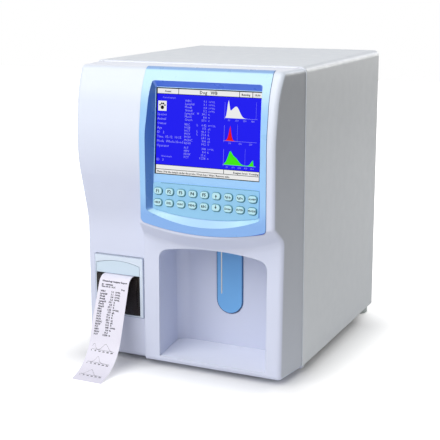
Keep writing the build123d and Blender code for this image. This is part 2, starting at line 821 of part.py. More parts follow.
# Printed strip: out of the slot, over its own curl and down to the bench
slot_z = door_top + slot_height / 2
strip_line = FilletPolyline(
    (platen_depth, slot_z), (-6, slot_z), (-46, 16), (-paper_reach, paper_thickness),
    radius=[11, 25],
)
strip_face = make_face(offset(strip_line, paper_thickness / 2, side=Side.BOTH))
strip = extrude(
    Plane.YZ.offset(paper_middle - roll_half) * strip_face, paper_width
)
save("paper_strip", strip)

# Cover: one bent sheet over the top and both sides, flanged under and behind
cover_span = (seam_depth + seam_gap, body_depth)
cover_zone = block(
    (-half_width - 1, half_width + 1), (0, body_depth + 1), (cover_bottom, body_height + 1)
)
cover = slab(cover_outline(0), cover_span) & cover_zone
front_edges = cover.faces().sort_by(Axis.Y)[0].edges()
cover = fillet([edge for edge in front_edges if edge.center().Z > cover_bottom + 1], cover_edge)
cover -= slab(cover_outline(-sheet), (0, body_depth + 1))
flange_ring = cover_outline(-sheet) - cover_outline(-flange)
cover += slab(flange_ring, (panel_depth - sheet, panel_depth)) & cover_zone
flange_start = seam_depth + tongue_length + 2
for side in (-1, 1):
    flange_x = sorted((side * (half_width - flange), side * inner_half))
    cover += block(flange_x, (flange_start, panel_depth), (cover_bottom, cover_bottom + sheet))

screw_x = half_width - 7
under_screws = [(side * screw_x, depth) for side in (-1, 1) for depth in (110, 230, 350)]
side_screw_z = (60, 220, body_height - 37)
back_screws = [(side * screw_x, z) for side in (-1, 1) for z in side_screw_z]
back_screws += [(-80, body_height - 7), (80, body_height - 7)]
under_holes = [
    rod((x, depth, 0), (0, 0, 1), cover_bottom + 3, panel_screw_radius) for x, depth in under_screws
]
back_holes = [rod((x, panel_depth - 3, z), (0, 1, 0), 6, panel_screw_radius) for x, z in back_screws]
for hole in under_holes + back_holes:
    cover -= hole
save("wrap_cover", cover)

# Base tray, with a narrower tongue that lies on the moulding's bottom
tray_side = half_width - 1
tray = block((-tray_side, tray_side), (flange_start, panel_depth), (tray_z, cover_bottom))
tray += block((-140, 140), (24, flange_start), (tray_z, cover_bottom))
tray += block((-145, 145), (panel_depth - sheet, panel_depth), (cover_bottom, cover_bottom + 18))
for hole in under_holes:
    tray -= hole
for start in (140, 170, 200):
    for x in (-120, -90):
        slot = Pos(x, start) * SlotOverall(22, 4, rotation=90)
        tray -= extrude(Plane.XY * slot, cover_bottom + 1)
save("base_tray", tray)

screws = []
for x, depth in under_screws:
    head_start = (x, depth, tray_z - head_height - head_seat)
    shank = rod(head_start, (0, 0, 1), shank_length, shank_radius)
    screws.append(shank + rod(head_start, (0, 0, 1), head_height, head_radius))
for x, z in back_screws:
    head_start = (x, body_depth + head_height + head_seat, z)
    shank = rod(head_start, (0, -1, 0), shank_length, shank_radius)
    screws.append(shank + rod(head_start, (0, -1, 0), head_height, head_radius))
save("cover_screws", *screws)

feet = []
for (x, depth), height in ((front_foot, front_bottom), (back_foot, tray_z)):
    for side in (-1, 1):
        foot = extrude(Pos(side * x, depth) * Circle(foot_radius), height)
        foot = chamfer(foot.faces().sort_by(Axis.Z)[0].edges(), 1.5)
        foot -= extrude(Pos(side * x, depth) * Circle(foot_recess), 4)
        feet.append(foot)
save("feet", *feet)

# Rear panel with its cut-outs
rear = slab(cover_outline(-sheet - 0.2), (panel_depth, body_depth)) & block(
    (-half_width, half_width), (0, body_depth + 1), (cover_bottom + 0.2, body_height)
)
grille = Sketch() + [
    Circle(outer) - Circle(outer - 4) for outer in range(17, 38, 7)
]
spokes = Rectangle(2 * fan_bore, 5) + Rectangle(5, 2 * fan_bore)
grille = Pos(fan_x, fan_z) * Rot(0, 0, 45) * (grille - spokes)
rear -= slab(grille, (panel_depth - 1, body_depth + 1))
inlet_cut = Pos(inlet_x, (inlet_z + rocker_z) / 2 - 1) * Rectangle(34, 48)
rear -= slab(inlet_cut, (panel_depth - 1, body_depth + 1))
for x in hose_x:
    rear -= rod((x, panel_depth - 1, hose_z), (0, 1, 0), 3, hose_radius + 1)
ports = (("serial_port", 215.0, 17.0, 31.0), ("printer_port", 285.0, 39.0, 53.0))
for name, z, opening, flange_length in ports:
    cut = Pos(port_x, z) * Rectangle(9.5, opening + 1)
    rear -= slab(cut, (panel_depth - 1, body_depth + 1))
for hole in back_holes:
    rear -= hole
save("rear_panel", rear)

# D-shaped sockets stand on the main board's rear edge
board_face = side_plate_x - board_gap - board_thickness
for name, z, opening, flange_length in ports:
    plate = Pos(port_x, z) * RectangleRounded(12.5, flange_length, 1.5)
    port = slab(plate, (body_depth, body_depth + 1))
    half_long = opening / 2 - 0.3
    collar = Polygon(
        (port_x - 4.2, z - half_long), (port_x + 4.2, z - half_long + 1.6),
        (port_x + 4.2, z + half_long - 1.6), (port_x - 4.2, z + half_long), align=None,
    )
    collar = fillet(collar.vertices(), 1.5)
    port += slab(collar, (board_back + 1, body_depth + 6))
    port -= slab(offset(collar, -0.6, kind=Kind.INTERSECTION), (body_depth - 1, body_depth + 7))
    count = int(opening // 1.45) // 2 + 1
    for row, offset_x in ((count, -1.4), (count - 1, 1.4)):
        for pin in range(row):
            pin_z = z + (pin - (row - 1) / 2) * 2.77
            middle = port_x + offset_x
            port += block(
                (middle - 0.5, middle + 0.5), (body_depth - 1, body_depth + 5), (pin_z - 0.5, pin_z + 0.5)
            )
    root_z = (z - half_long, z + half_long)
    port += block((port_x - 5, board_face), (board_back - 8, board_back + 1), root_z)
    save(name, port)

# Mains inlet and switch in one module
module = slab(
    Pos(inlet_x, (inlet_z + rocker_z) / 2 - 1) * RectangleRounded(44, 54, 3),
    (body_depth, body_depth + inlet_flange),
)
module += slab(
    Pos(inlet_x, (inlet_z + rocker_z) / 2 - 1) * RectangleRounded(33.6, 47.6, 2),
    (body_depth - 24, body_depth),
)
face = body_depth + inlet_flange
socket = Pos(inlet_x, inlet_z) * Rectangle(24.5, 17)
socket = chamfer(socket.vertices().group_by(Axis.Y)[-1], 4.5)
module -= slab(socket, (face - 16.5, face + 1))
for x, z in ((-7, -1.6), (0, 2.4), (7, -1.6)):
    module += block(
        (inlet_x + x - 1, inlet_x + x + 1), (face - 17, face - 3),
        (inlet_z + z - 2, inlet_z + z + 2),
    )
rocker_half = 9.4
rocker_height = 12.0
well_half = rocker_half + 1.1
well_z = (rocker_z - rocker_height / 2 - 0.3, rocker_z + rocker_height / 2 + 0.3)
module -= block((inlet_x - well_half, inlet_x + well_half), (face - 11, face + 1), well_z)
pivot = (inlet_x, face - 2.5, rocker_z - rocker_height / 2 - 1.8)
module -= rod(pivot, (0, 0, 1), rocker_height + 3.6, 1.2 + running_gap)
save("power_inlet", module)

valley = Plane.XY.offset(rocker_z - rocker_height / 2)
rocker = extrude(valley * Polygon(
    (-rocker_half, -3.5), (rocker_half, -3.5), (rocker_half, rocker_rise + 1.3),
    (0, rocker_rise), (-rocker_half, rocker_rise + 1.3), align=None,
), rocker_height)
rocker += rod((0, 0, rocker_z - rocker_height / 2 - 1.5), (0, 0, 1), rocker_height + 3, 1.2)
rocker = Pos(inlet_x, pivot[1], 0) * Rot(0, 0, rocker_angle) * rocker
save("power_rocker", rocker)

# Hose spigots for reagents and waste
hoses = []
hose_start = panel_depth - 8
for x in hose_x:
    hose_end = body_depth + connector_reach
    spigot = rod((x, hose_start, hose_z), (0, 1, 0), hose_end - hose_start, hose_radius)
    spigot += rod((x, body_depth, hose_z), (0, 1, 0), connector_reach - hose_length, hose_collar)
    spigot += rod((x, panel_depth - hose_nut, hose_z), (0, 1, 0), hose_nut, hose_collar - 0.6)
    spigot -= rod((x, 0, hose_z), (0, 1, 0), body_depth + connector_reach, hose_bore)
    hoses.append(spigot)
save("hose_connectors", *hoses)

# Fan and rotor
fan_front = panel_depth - fan_thickness
fan = rounded_block(
    (fan_x - fan_side / 2, fan_x + fan_side / 2), (fan_front, panel_depth),
    (fan_z - fan_side / 2, fan_z + fan_side / 2), 4,
)
fan -= rod((fan_x, fan_front, fan_z), (0, 1, 0), fan_thickness, fan_bore)
hub_radius = 17.0
fan += rod((fan_x, panel_depth - 4, fan_z), (0, 1, 0), 4, hub_radius)
struts = Pos(fan_x, fan_z) * (Rectangle(2 * fan_bore + 1, 4) + Rectangle(4, 2 * fan_bore + 1))
fan += slab(struts, (panel_depth - 4, panel_depth))
fan += rod((fan_x, panel_depth - 14, fan_z), (0, 1, 0), 10.5, 2)
save("cooling_fan", fan)

rotor = rod((0, 0, 0), (0, 1, 0), 18, hub_radius)
blade_line = Plane(origin=(hub_radius - 1, 9, 0), x_dir=(0, 1, 0), z_dir=(1, 0, 0))
blade = extrude(blade_line * Rot(0, 0, 35) * Rectangle(18, 1.4), fan_bore - hub_radius)
for turn in range(fan_blades):
    rotor += Rot(0, turn * 360 / fan_blades, 0) * blade
rotor &= rod((0, 0, 0), (0, 1, 0), 19, fan_bore - 1)
rotor -= rod((0, 6, 0), (0, 1, 0), 13, 2 + running_gap)
rotor = Pos(fan_x, fan_front + 2, fan_z) * rotor
save("fan_rotor", rotor)

# Chassis: upright plate, side plate and the brackets of the probe lift
chassis = block(
    (-chassis_half, chassis_half), (chassis_depth, chassis_back), (cover_bottom + sheet, chassis_top)
)
chassis += block(
    (-chassis_half + 20, chassis_half - 20), (chassis_depth, chassis_depth + 20),
    (cover_bottom, cover_bottom + sheet),
)
side_plate = (side_plate_x, side_plate_x + sheet)
chassis += block(side_plate, (chassis_back, board_back), (cover_bottom, side_plate_top))
chassis += block(
    (side_plate_x, side_plate_x + 14), (chassis_back, board_back), (cover_bottom, cover_bottom + sheet)
)
pass_through = Pos(-30, 270) * SlotOverall(60, 24)
chassis -= slab(pass_through, (chassis_depth - 1, chassis_back + 1))
bracket_x = (aspirate_x - rod_spacing / 2 - 12, aspirate_x + rod_spacing / 2 + 12)
for z in (bracket_low, bracket_high):
    chassis += block(bracket_x, (probe_depth + 3, chassis_depth), (z, z + bracket_sheet))
for x in rod_places:
    chassis -= rod((x, rod_depth, bracket_low), (0, 0, 1), guide_length + 1, rod_radius)
screw_hole = screw_radius + running_gap
chassis -= rod((aspirate_x, rod_depth, bracket_low), (0, 0, 1), guide_length + 1, screw_hole)
save("chassis_frame", chassis)

# Main board with its larger chips
board_x = (board_face, board_face + board_thickness)
board = block(board_x, (board_front, board_back), (board_bottom, board_top))
for depth in (board_front + 10, board_back - 10):
    for z in (board_bottom + 10, board_top - 10):
        board += rod((board_face, depth, z), (1, 0, 0), board_gap + board_thickness, 2.5)
for depth, z, size, height in (
    (200, 180, 30, 3), (250, 180, 24, 3), (200, 250, 34, 5), (260, 260, 20, 3),
    (310, 200, 26, 4), (330, 330, 18, 9), (220, 330, 28, 3), (290, 330, 14, 12),
):
    board += block((board_face - height, board_face), (depth, depth + size), (z, z + size))
save("main_board", board)

# Counting baths on their plate
baths = block(
    (bath_x[0] - 20, bath_x[1] + 20), (chassis_back, chassis_back + 3), (bath_z - 15, bath_z + 67)
)
for x in bath_x:
    baths += rod((x, bath_depth, bath_z), (0, 0, 1), 52, bath_radius)
    cone = loft([
        Plane(origin=(x, bath_depth, bath_z)) * Circle(bath_radius),
        Plane(origin=(x, bath_depth, bath_z - 12)) * Circle(4),
    ])
    baths += cone
    baths += rod((x, bath_depth, bath_z - 23), (0, 0, 1), 12, 2.5)
    baths += block((x - 8, x + 8), (chassis_back + 3, bath_depth - 8), (bath_z + 20, bath_z + 40))
    baths -= rod((x, bath_depth, bath_z + 3), (0, 0, 1), 60, bath_radius - 2)
    baths -= rod((x, bath_depth, bath_z - 24), (0, 0, 1), 30, 1.2)
save("counting_baths", baths)

# Syringes: two barrels and the plungers that one yoke drives
barrel_radius = syringe_bore + 3
barrels = block(
    (syringe_x[0] - 16, syringe_x[1] + 16), (chassis_back, chassis_back + 4),
    (syringe_top - 80, syringe_top + 14),
)
barrels += block(
    (syringe_x[0] - 14, syringe_x[1] + 14), (chassis_back + 4, syringe_depth + 13),
    (syringe_top, syringe_top + 14),
)
for x in syringe_x:
    barrels += rod((x, syringe_depth, syringe_top - 78), (0, 0, 1), 78, barrel_radius)
    barrels += block(
        (x - 6, x + 6), (chassis_back + 4, syringe_depth - 8), (syringe_top - 78, syringe_top)
    )
    barrels -= rod((x, syringe_depth, syringe_top - 79), (0, 0, 1), 79, syringe_bore)
    barrels -= rod((x, syringe_depth, syringe_top - 1), (0, 0, 1), 16, 1.5)
save("syringe_barrels", barrels)

plungers = block(
    (syringe_x[0] - 12, syringe_x[1] + 12), (syringe_depth - 8, syringe_depth + 8),
    (syringe_top - 140, syringe_top - 130),
)
for x in syringe_x:
    plungers += rod((x, syringe_depth, syringe_top - 132), (0, 0, 1), 124, 4)
    plungers += rod((x, syringe_depth, syringe_top - 14), (0, 0, 1), 10, syringe_bore - plunger_play)
save("syringe_plungers", plungers)

# Valves on one manifold
valves = block((-100, 30), (chassis_back, chassis_back + 25), (valve_z - 12, valve_z))
for index in range(5):
    x = -87 + index * 26
    valves += rod((x, chassis_back + 13, valve_z), (0, 0, 1), 30, 9)
    valves += rod((x, chassis_back + 13, valve_z - 18), (0, 0, 1), 6, 2)
save("valve_bank", valves)

# Vacuum pump lies on the tray
pump = rod((-80, pump_depth, pump_z), (1, 0, 0), 60, 20)
pump += block((-20, 8), (pump_depth - 22, pump_depth + 22), (pump_z - 22, pump_z + 22))
pump += block((-72, -4), (pump_depth - 18, pump_depth + 18), (cover_bottom, pump_z - 12))
for depth in (pump_depth - 10, pump_depth + 10):
    pump += rod((-6, depth, pump_z + 22), (0, 0, 1), 10, 2.5)
save("vacuum_pump", pump)

# Power supply: a vented box
supply = block(supply_x, supply_depth, (cover_bottom, supply_top))
supply -= block(
    (supply_x[0] + 1.2, supply_x[1] - 1.2), (supply_depth[0] + 1.2, supply_depth[1] - 1.2),
    (cover_bottom + 1.2, supply_top - 1.2),
)
vent_step = (supply_x[1] - supply_x[0]) / 9
for vent in range(8):
    x = supply_x[0] + vent_step * (vent + 1)
    slot = Pos(x, (supply_depth[0] + supply_depth[1]) / 2) * SlotOverall(90, 4, rotation=90)
    supply -= extrude(Plane.XY.offset(supply_top - 3) * slot, 5)
save("power_supply", supply)
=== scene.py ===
# %% [markdown]
# A hematology analyzer, dressed for its picture
#
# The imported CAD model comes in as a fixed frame, in metres. Its nodes already
# have the right shapes, so they get finishes here, and only what CAD can't
# give is made new: the glowing screen, printed marks, thin outlines, a seal and
# the curled paper strip. Y = 0 is halfway along the whole object, -Y is the front.

# %% Load the frame
from math import cos, pi, radians, sin, tan

import bpy
from mathutils import Matrix, Vector


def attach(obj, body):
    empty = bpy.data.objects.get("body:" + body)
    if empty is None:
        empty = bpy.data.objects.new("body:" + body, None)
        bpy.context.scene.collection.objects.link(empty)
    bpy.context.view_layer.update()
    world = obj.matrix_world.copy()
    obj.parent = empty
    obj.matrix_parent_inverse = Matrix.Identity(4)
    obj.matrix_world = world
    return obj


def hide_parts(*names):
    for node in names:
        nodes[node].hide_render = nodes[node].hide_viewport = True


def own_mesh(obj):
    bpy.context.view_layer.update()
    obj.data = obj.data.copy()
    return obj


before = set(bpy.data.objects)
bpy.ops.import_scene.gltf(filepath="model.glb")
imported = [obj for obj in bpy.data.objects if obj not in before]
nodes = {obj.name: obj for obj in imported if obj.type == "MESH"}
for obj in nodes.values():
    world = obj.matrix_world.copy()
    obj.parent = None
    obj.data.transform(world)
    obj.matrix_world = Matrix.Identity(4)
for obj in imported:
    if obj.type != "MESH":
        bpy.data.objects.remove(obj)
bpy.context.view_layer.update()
MM = 0.001

# %% [markdown]
# The camera comes first, because every later choice is judged through it. Its
# place and angles were worked out from the cabinet's edges in the photograph:
# it stands about 1.4 m in front, to the right, and looks down a little. The
# picture's optical centre lies slightly off its middle, which the shifts give.

# %% Camera
SENSOR = 36.0
FOCAL_PIXELS = 1059.2
PICTURE = 440
CENTRE_X, CENTRE_Y = 218.0, 216.9
CAMERA_PLACE = Vector((0.666, -1.432, 0.559))
PAN, TILT, ROLL = radians(25.38), radians(12.96), radians(-0.26)
camera_data = bpy.data.cameras.new("camera")
camera_data.sensor_width = SENSOR
camera_data.lens = FOCAL_PIXELS / PICTURE * SENSOR
camera_data.shift_x = (PICTURE / 2 - CENTRE_X) / PICTURE
camera_data.shift_y = (CENTRE_Y - PICTURE / 2) / PICTURE
camera = bpy.data.objects.new("camera", camera_data)
bpy.context.collection.objects.link(camera)
aim = Matrix.Rotation(PAN, 4, "Z") @ Matrix.Rotation(pi / 2 - TILT, 4, "X")
camera.matrix_world = Matrix.Translation(CAMERA_PLACE) @ aim @ Matrix.Rotation(ROLL, 4, "Z")
bpy.context.scene.camera = camera
print("lens", round(camera_data.lens, 2))

# %% [markdown]
# Two habits keep operators safe when nobody is clicking: everything is
# deselected before something new is added, and a finished piece has its place
# applied to its mesh, so that its object sits at the origin.

# %% Small helpers for operators
def deselect():
    """Leave edit mode and select nothing."""
    if bpy.context.object and bpy.context.object.mode == "EDIT":
        bpy.ops.object.mode_set(mode="OBJECT")
    bpy.ops.object.select_all(action="DESELECT")


def only(piece):
    """Select one piece and make it active."""
    deselect()
    piece.select_set(True)
    bpy.context.view_layer.objects.active = piece


def settle(piece, name):
    """Name a piece and apply its place, turn and size to its mesh."""
    only(piece)
    bpy.ops.object.transform_apply(location=True, rotation=True, scale=True)
    piece.name = name
    return piece


def joined(pieces, name):
    """Join pieces into one and name it."""
    deselect()
    for piece in pieces:
        piece.select_set(True)
    bpy.context.view_layer.objects.active = pieces[0]
    if len(pieces) > 1:
        bpy.ops.object.join()
    return settle(bpy.context.object, name)


print("operator helpers ready")

# %% [markdown]
# Most of the new pieces are flat: bars, plates and thin outlines. A plate is a
# plane brought to its real size. An outline is a plate that is inset by the
# line's width, after which its middle is deleted and the rim is left.

# %% Plates and outlines
def flat_plate(width, depth):
    """A flat rectangle of a real size round the origin."""
    deselect()
    bpy.ops.mesh.primitive_plane_add(size=1)
    plate = bpy.context.object
    plate.scale = (width, depth, 1)
    bpy.ops.object.transform_apply(location=False, rotation=False, scale=True)
    return plate


def flat_disc(corners, radius):
    """A filled circle with that many corners round the origin."""
    deselect()
    bpy.ops.mesh.primitive_circle_add(vertices=corners, radius=radius, fill_type="NGON")
    return bpy.context.object


def rim_of(plate, line):
    """Inset a flat plate and delete its middle, so that a rim is left."""
    only(plate)
    bpy.ops.object.mode_set(mode="EDIT")
    bpy.ops.mesh.select_all(action="SELECT")
    bpy.ops.mesh.inset(thickness=line, depth=0)
    bpy.ops.mesh.delete(type="ONLY_FACE")
    bpy.ops.object.mode_set(mode="OBJECT")
    return plate


def rounded(plate, radius, segments):
    """Round the selected corners of a flat plate."""
    only(plate)
    bpy.ops.object.mode_set(mode="EDIT")
    bpy.ops.mesh.bevel(offset=radius, segments=segments, affect="VERTICES")
    bpy.ops.object.mode_set(mode="OBJECT")
    return plate


print("plate helpers ready")

# %% [markdown]
# Every finish is built from the same few nodes. Object coordinates are used, so
# a pattern has its real size in metres and stays put when a piece moves.

# %% Nodes for finishes
def new_material(name):
    """An empty node material with its shader and Object coordinates."""
    material = bpy.data.materials.new(name)
    material.use_nodes = True
    tree = material.node_tree
    shader = tree.nodes["Principled BSDF"]
    place = tree.nodes.new("ShaderNodeTexCoord")
    return material, tree, shader, place.outputs["Object"]


def noise(tree, place, scale, detail=3.0):
    """A noise texture whose scale is features per metre."""
    texture = tree.nodes.new("ShaderNodeTexNoise")
    texture.inputs["Scale"].default_value = scale
    texture.inputs["Detail"].default_value = detail
    tree.links.new(place, texture.inputs["Vector"])
    return texture.outputs["Fac"]


def mapped(tree, source, low, high, first=0.0, last=1.0):
    """Map a value so that low gives first and high gives last."""
    ramp = tree.nodes.new("ShaderNodeMapRange")
    ramp.inputs["From Min"].default_value = low
    ramp.inputs["From Max"].default_value = high
    ramp.inputs["To Min"].default_value = first
    ramp.inputs["To Max"].default_value = last
    tree.links.new(source, ramp.inputs["Value"])
    return ramp.outputs["Result"]


def spread(tree, source, first=0.0, last=1.0):
    """Map the middle of a noise, where nearly all of it lies, to a range."""
    return mapped(tree, source, 0.3, 0.7, first, last)


def laid_over(tree, factor, below, above):
    """Lay a colour, or a colour socket, over another by a factor from 0 to 1."""
    mix = tree.nodes.new("ShaderNodeMix")
    mix.data_type = "RGBA"
    tree.links.new(factor, mix.inputs["Factor"])
    for colour, socket in ((below, mix.inputs["A"]), (above, mix.inputs["B"])):
        if isinstance(colour, tuple):
            socket.default_value = (*colour, 1)
        else:
            tree.links.new(colour, socket)
    return mix.outputs["Result"]


def combined(tree, operation, first, second):
    """One value from two, by a Math node."""
    node = tree.nodes.new("ShaderNodeMath")
    node.operation = operation
    tree.links.new(first, node.inputs[0])
    tree.links.new(second, node.inputs[1])
    return node.outputs[0]


def split_axes(tree, source):
    """The X, Y and Z of a vector."""
    split = tree.nodes.new("ShaderNodeSeparateXYZ")
    tree.links.new(source, split.inputs[0])
    return split.outputs["X"], split.outputs["Y"], split.outputs["Z"]


def directions(tree):
    """The X, Y and Z of the surface's own direction."""
    return split_axes(tree, tree.nodes.new("ShaderNodeTexCoord").outputs["Normal"])


def srgb(code):
    """Linear colour from a hexadecimal screen colour."""
    levels = [int(code[i:i + 2], 16) / 255 for i in (0, 2, 4)]
    return tuple(v / 12.92 if v < 0.04045 else ((v + 0.055) / 1.055) ** 2.4 for v in levels)


def shade(colour, factor):
    """A lighter or darker copy of a colour."""
    return tuple(min(1.0, channel * factor) for channel in colour)


print("mid grey", round(srgb("808080")[0], 3))

# %% [markdown]
# No real surface is even. Its tone drifts slightly over some centimetres, its
# gloss differs from place to place, and a fine grain catches the light. Most
# parts need no more than these three.

# %% Tone, gloss and grain
DRIFT_SCALE = 9
GLOSS_SCALE = 60


def tinted(tree, shader, place, colour, drift):
    """A base colour that drifts softly."""
    drifted = spread(tree, noise(tree, place, DRIFT_SCALE, 4))
    base = laid_over(tree, drifted, shade(colour, 1 - drift), shade(colour, 1 + drift))
    tree.links.new(base, shader.inputs["Base Color"])
    return base


def glossed(tree, shader, place, low, high, scale=GLOSS_SCALE):
    """Roughness that varies between two values."""
    uneven = spread(tree, noise(tree, place, scale), low, high)
    tree.links.new(uneven, shader.inputs["Roughness"])


def grained(tree, shader, place, grain, strength, under=None, detail=2, depth=0.2 * MM):
    """A fine bump, laid on another surface direction where one is given."""
    relief = tree.nodes.new("ShaderNodeBump")
    relief.inputs["Strength"].default_value = strength
    relief.inputs["Distance"].default_value = depth
    tree.links.new(noise(tree, place, grain, detail), relief.inputs["Height"])
    if under:
        tree.links.new(under, relief.inputs["Normal"])
    tree.links.new(relief.outputs["Normal"], shader.inputs["Normal"])


def finish(name, code, roughness, grain, bump, drift=0.05, metallic=0.0, coat=0.0):
    """A plain surface with drift, grain and uneven gloss."""
    material, tree, shader, place = new_material(name)
    tinted(tree, shader, place, srgb(code), drift)
    glossed(tree, shader, place, roughness * 0.85, roughness * 1.15)
    grained(tree, shader, place, grain, bump)
    shader.inputs["Metallic"].default_value = metallic
    shader.inputs["Coat Weight"].default_value = coat
    shader.inputs["Coat Roughness"].default_value = 0.15
    return material


def dress(material, *names):
    """Give CAD nodes a finish through their objects' material slots."""
    for name in names:
        for slot in nodes[name].material_slots:
            slot.material = material


def limits(name, axis):
    """The lowest and highest place of a CAD node along one axis."""
    places = [corner[axis] for corner in nodes[name].bound_box]
    return min(places), max(places)


print("drift every", round(1000 / DRIFT_SCALE), "mm")

# %% [markdown]
# The metal parts: zinc-plated sheet inside and below, paint on the rear panel
# and the pump, nickel shells on the two sockets, and bright steel for the probe,
# its rods, the motors and the screws. Bare metal has a high metallic value.

# %% Metal parts
dress(finish("zinc", "b4b8ba", 0.38, 500, 0.15, metallic=0.9),
      "base_tray", "chassis_frame", "power_supply", "print_head")
dress(finish("panel_grey", "c2c7cb", 0.48, 1400, 0.25, 0.015), "rear_panel")
dress(finish("nickel", "dcdcd6", 0.25, 900, 0.05, 0.03, metallic=0.9), "serial_port", "printer_port")
dress(finish("bright_steel", "cfd2d4", 0.22, 900, 0.06, metallic=1.0),
      "sample_probe", "probe_guide_rods", "lift_screw", "lift_motor", "printer_motor", "cover_screws")
dress(finish("pump_paint", "3a3f45", 0.40, 1200, 0.25, 0.06), "vacuum_pump")
print("metal finishes", len(bpy.data.materials))

# %% [markdown]
# Rubber, plastics and circuit boards. Small differences in roughness and grain
# tell a soft foot from a moulded carriage or a glossy rocker.

# %% Rubber, plastic and boards
black_plastic = finish("black_plastic", "1c1d1f", 0.45, 2000, 0.20, 0.10)
dress(black_plastic, "probe_carriage", "aspirate_switch", "cooling_fan", "fan_rotor", "power_inlet")
dress(finish("glossy_black", "161618", 0.18, 2000, 0.05), "power_rocker")
dress(finish("dark_rubber", "2c2d2e", 0.75, 1800, 0.35, 0.10), "platen_roller")
dress(finish("foot_rubber", "c2cac8", 0.60, 1500, 0.30, 0.06), "feet")
dress(finish("natural_plastic", "e4e2da", 0.50, 1500, 0.10, 0.03),
      "hose_connectors", "motor_pinion", "probe_wiper", "valve_bank", "syringe_plungers")
dress(finish("board_green", "1f6b3a", 0.35, 700, 0.20, 0.12), "main_board", "keypad_board")
dress(finish("frame_cyan", "d5e0ee", 0.40, 2400, 0.08, 0.012), "printer_housing")
dress(finish("latch_cyan", "cbdcea", 0.40, 2400, 0.08, 0.012), "printer_latch")
dress(finish("overlay_cyan", "8cc2e5", 0.35, 3000, 0.08, 0.02, coat=0.2), "keypad_overlay")
dress(finish("aspirate_blue", "70b0e8", 0.42, 2600, 0.04, 0.01), "aspirate_key")
dress(finish("display_glass", "101020", 0.15, 2000, 0.02), "lcd_display")
print("finishes so far", len(bpy.data.materials))

# %% [markdown]
# The white moulding and the grey painted cover are the largest surfaces, and
# light and shade are painted into their colour. The moulding gets painted light
# high up and where it faces the ceiling, and both get a painted shade on the
# right-hand side, darker near the top. Height and surface direction tell these
# places apart. A Bevel node softens the CAD solid's sharp edges.

# %% Cabinet finishes
def cabinet_finish(name, tones, grain, bump, edge):
    """A cabinet finish: tones are the low face, painted light high up, painted light on top, painted side
    shade high and low.
    """
    low, high, painted_top_light, painted_side_shade_high, painted_side_shade_low = [srgb(tone) for tone in tones]
    material, tree, shader, place = new_material(name)
    normal_x, _, normal_z = directions(tree)
    across, _, height = split_axes(tree, place)
    front = tinted(tree, shader, place, low, 0.015)
    # Painted light: whiter high up and where the surface faces the ceiling.
    front = laid_over(tree, mapped(tree, height, 270 * MM, 420 * MM), front, high)
    front = laid_over(tree, mapped(tree, normal_z, 0.85, 0.98), front, painted_top_light)
    # Painted shade on the right-hand side, darker near the top and lighter near the foot.
    side = laid_over(tree, mapped(tree, height, 400 * MM, 30 * MM), painted_side_shade_high, painted_side_shade_low)
    faces_right = mapped(tree, normal_x, 0.80, 0.98)
    lies_right = mapped(tree, across, 135 * MM, 150 * MM)
    painted_side_mask = combined(tree, "MULTIPLY", faces_right, lies_right)
    tree.links.new(laid_over(tree, painted_side_mask, front, side), shader.inputs["Base Color"])
    glossed(tree, shader, place, 0.36, 0.50)
    softened = tree.nodes.new("ShaderNodeBevel")
    softened.samples = 4
    softened.inputs["Radius"].default_value = edge
    grained(tree, shader, place, grain, bump, softened.outputs["Normal"])
    return material


# Tones: the face's own colour, painted light high up, painted light on top, painted side shade high,
# painted side shade low.
HOUSING_TONES_AND_PAINTED_LIGHT = ("d2d7ea", "dde4ef", "e9ecf7", "8f9297", "babfc9")
COVER_TONES_AND_PAINTED_SHADE = ("d6dbe2", "d6dbe2", "d6dbe2", "b2b5b7", "ced2d6")
dress(cabinet_finish("housing_white", HOUSING_TONES_AND_PAINTED_LIGHT, 2600, 0.10, 1.2 * MM), "front_housing")
dress(cabinet_finish("painted_grey", COVER_TONES_AND_PAINTED_SHADE, 1400, 0.25, 0.4 * MM), "wrap_cover")
print("cabinet tones", len(HOUSING_TONES_AND_PAINTED_LIGHT))

# %% [markdown]
# The blue surround is one moulding of one blue, with light and shade painted
# into it. Its face gets painted light that pales it from a full blue at the foot
# to a pale cyan at the top, and a painted shadow under the brow. In its sunk
# window the walls get painted light and shade by the way they face: paler facing
# up, deeper facing right or down. So the tones are a list, laid one over the other.

# %% Blue surround
def surround_finish():
    """One blue with painted light and shade: paler towards the top, a painted shadow under the brow, and
    shaded walls round the window.
    """
    material, tree, shader, place = new_material("surround_blue")
    normal_x, _, normal_z = directions(tree)
    height = split_axes(tree, place)[2]
    foot, top = limits("screen_bezel", 2)
    colour = srgb("83aee7")
    # Painted light and shade laid over the blue: source, range and tone.
    tones = (
        (height, foot + 22 * MM, foot + 50 * MM, "98c6f1"),
        (height, top - 60 * MM, top - 12 * MM, "bfe0f4"),
        (normal_z, 0.30, 0.60, "b4def2"),
        (height, top - 4.4 * MM, top - 2.6 * MM, "8aaee0"),
        (normal_x, 0.30, 0.70, "4777bb"),
        (normal_z, -0.15, -0.50, "4470e0"),
    )
    for source, low, high, tone in tones:
        colour = laid_over(tree, mapped(tree, source, low, high), colour, srgb(tone))
    tree.links.new(colour, shader.inputs["Base Color"])
    glossed(tree, shader, place, 0.26, 0.36)
    grained(tree, shader, place, 2600, 0.08)
    print("surround from", round(foot, 3), "to", round(top, 3))
    return material


dress(surround_finish(), "screen_bezel")

# %% [markdown]
# The keys are soft caps with pale tops. Their chamfered rims and sides turn
# away from the front, and the surface direction gives them a painted shade of
# deeper teal.

# %% Key skins
def key_finish():
    """Pale key tops whose chamfered rims and sides get a painted teal shade."""
    material, tree, shader, place = new_material("key_skin")
    forward = directions(tree)[1]
    # Painted shade: teal where the surface turns away from the front.
    colour = laid_over(tree, mapped(tree, forward, -0.80, -0.95), srgb("6ba4b2"), srgb("b6dfe8"))
    tree.links.new(colour, shader.inputs["Base Color"])
    glossed(tree, shader, place, 0.34, 0.42, 90)
    return material


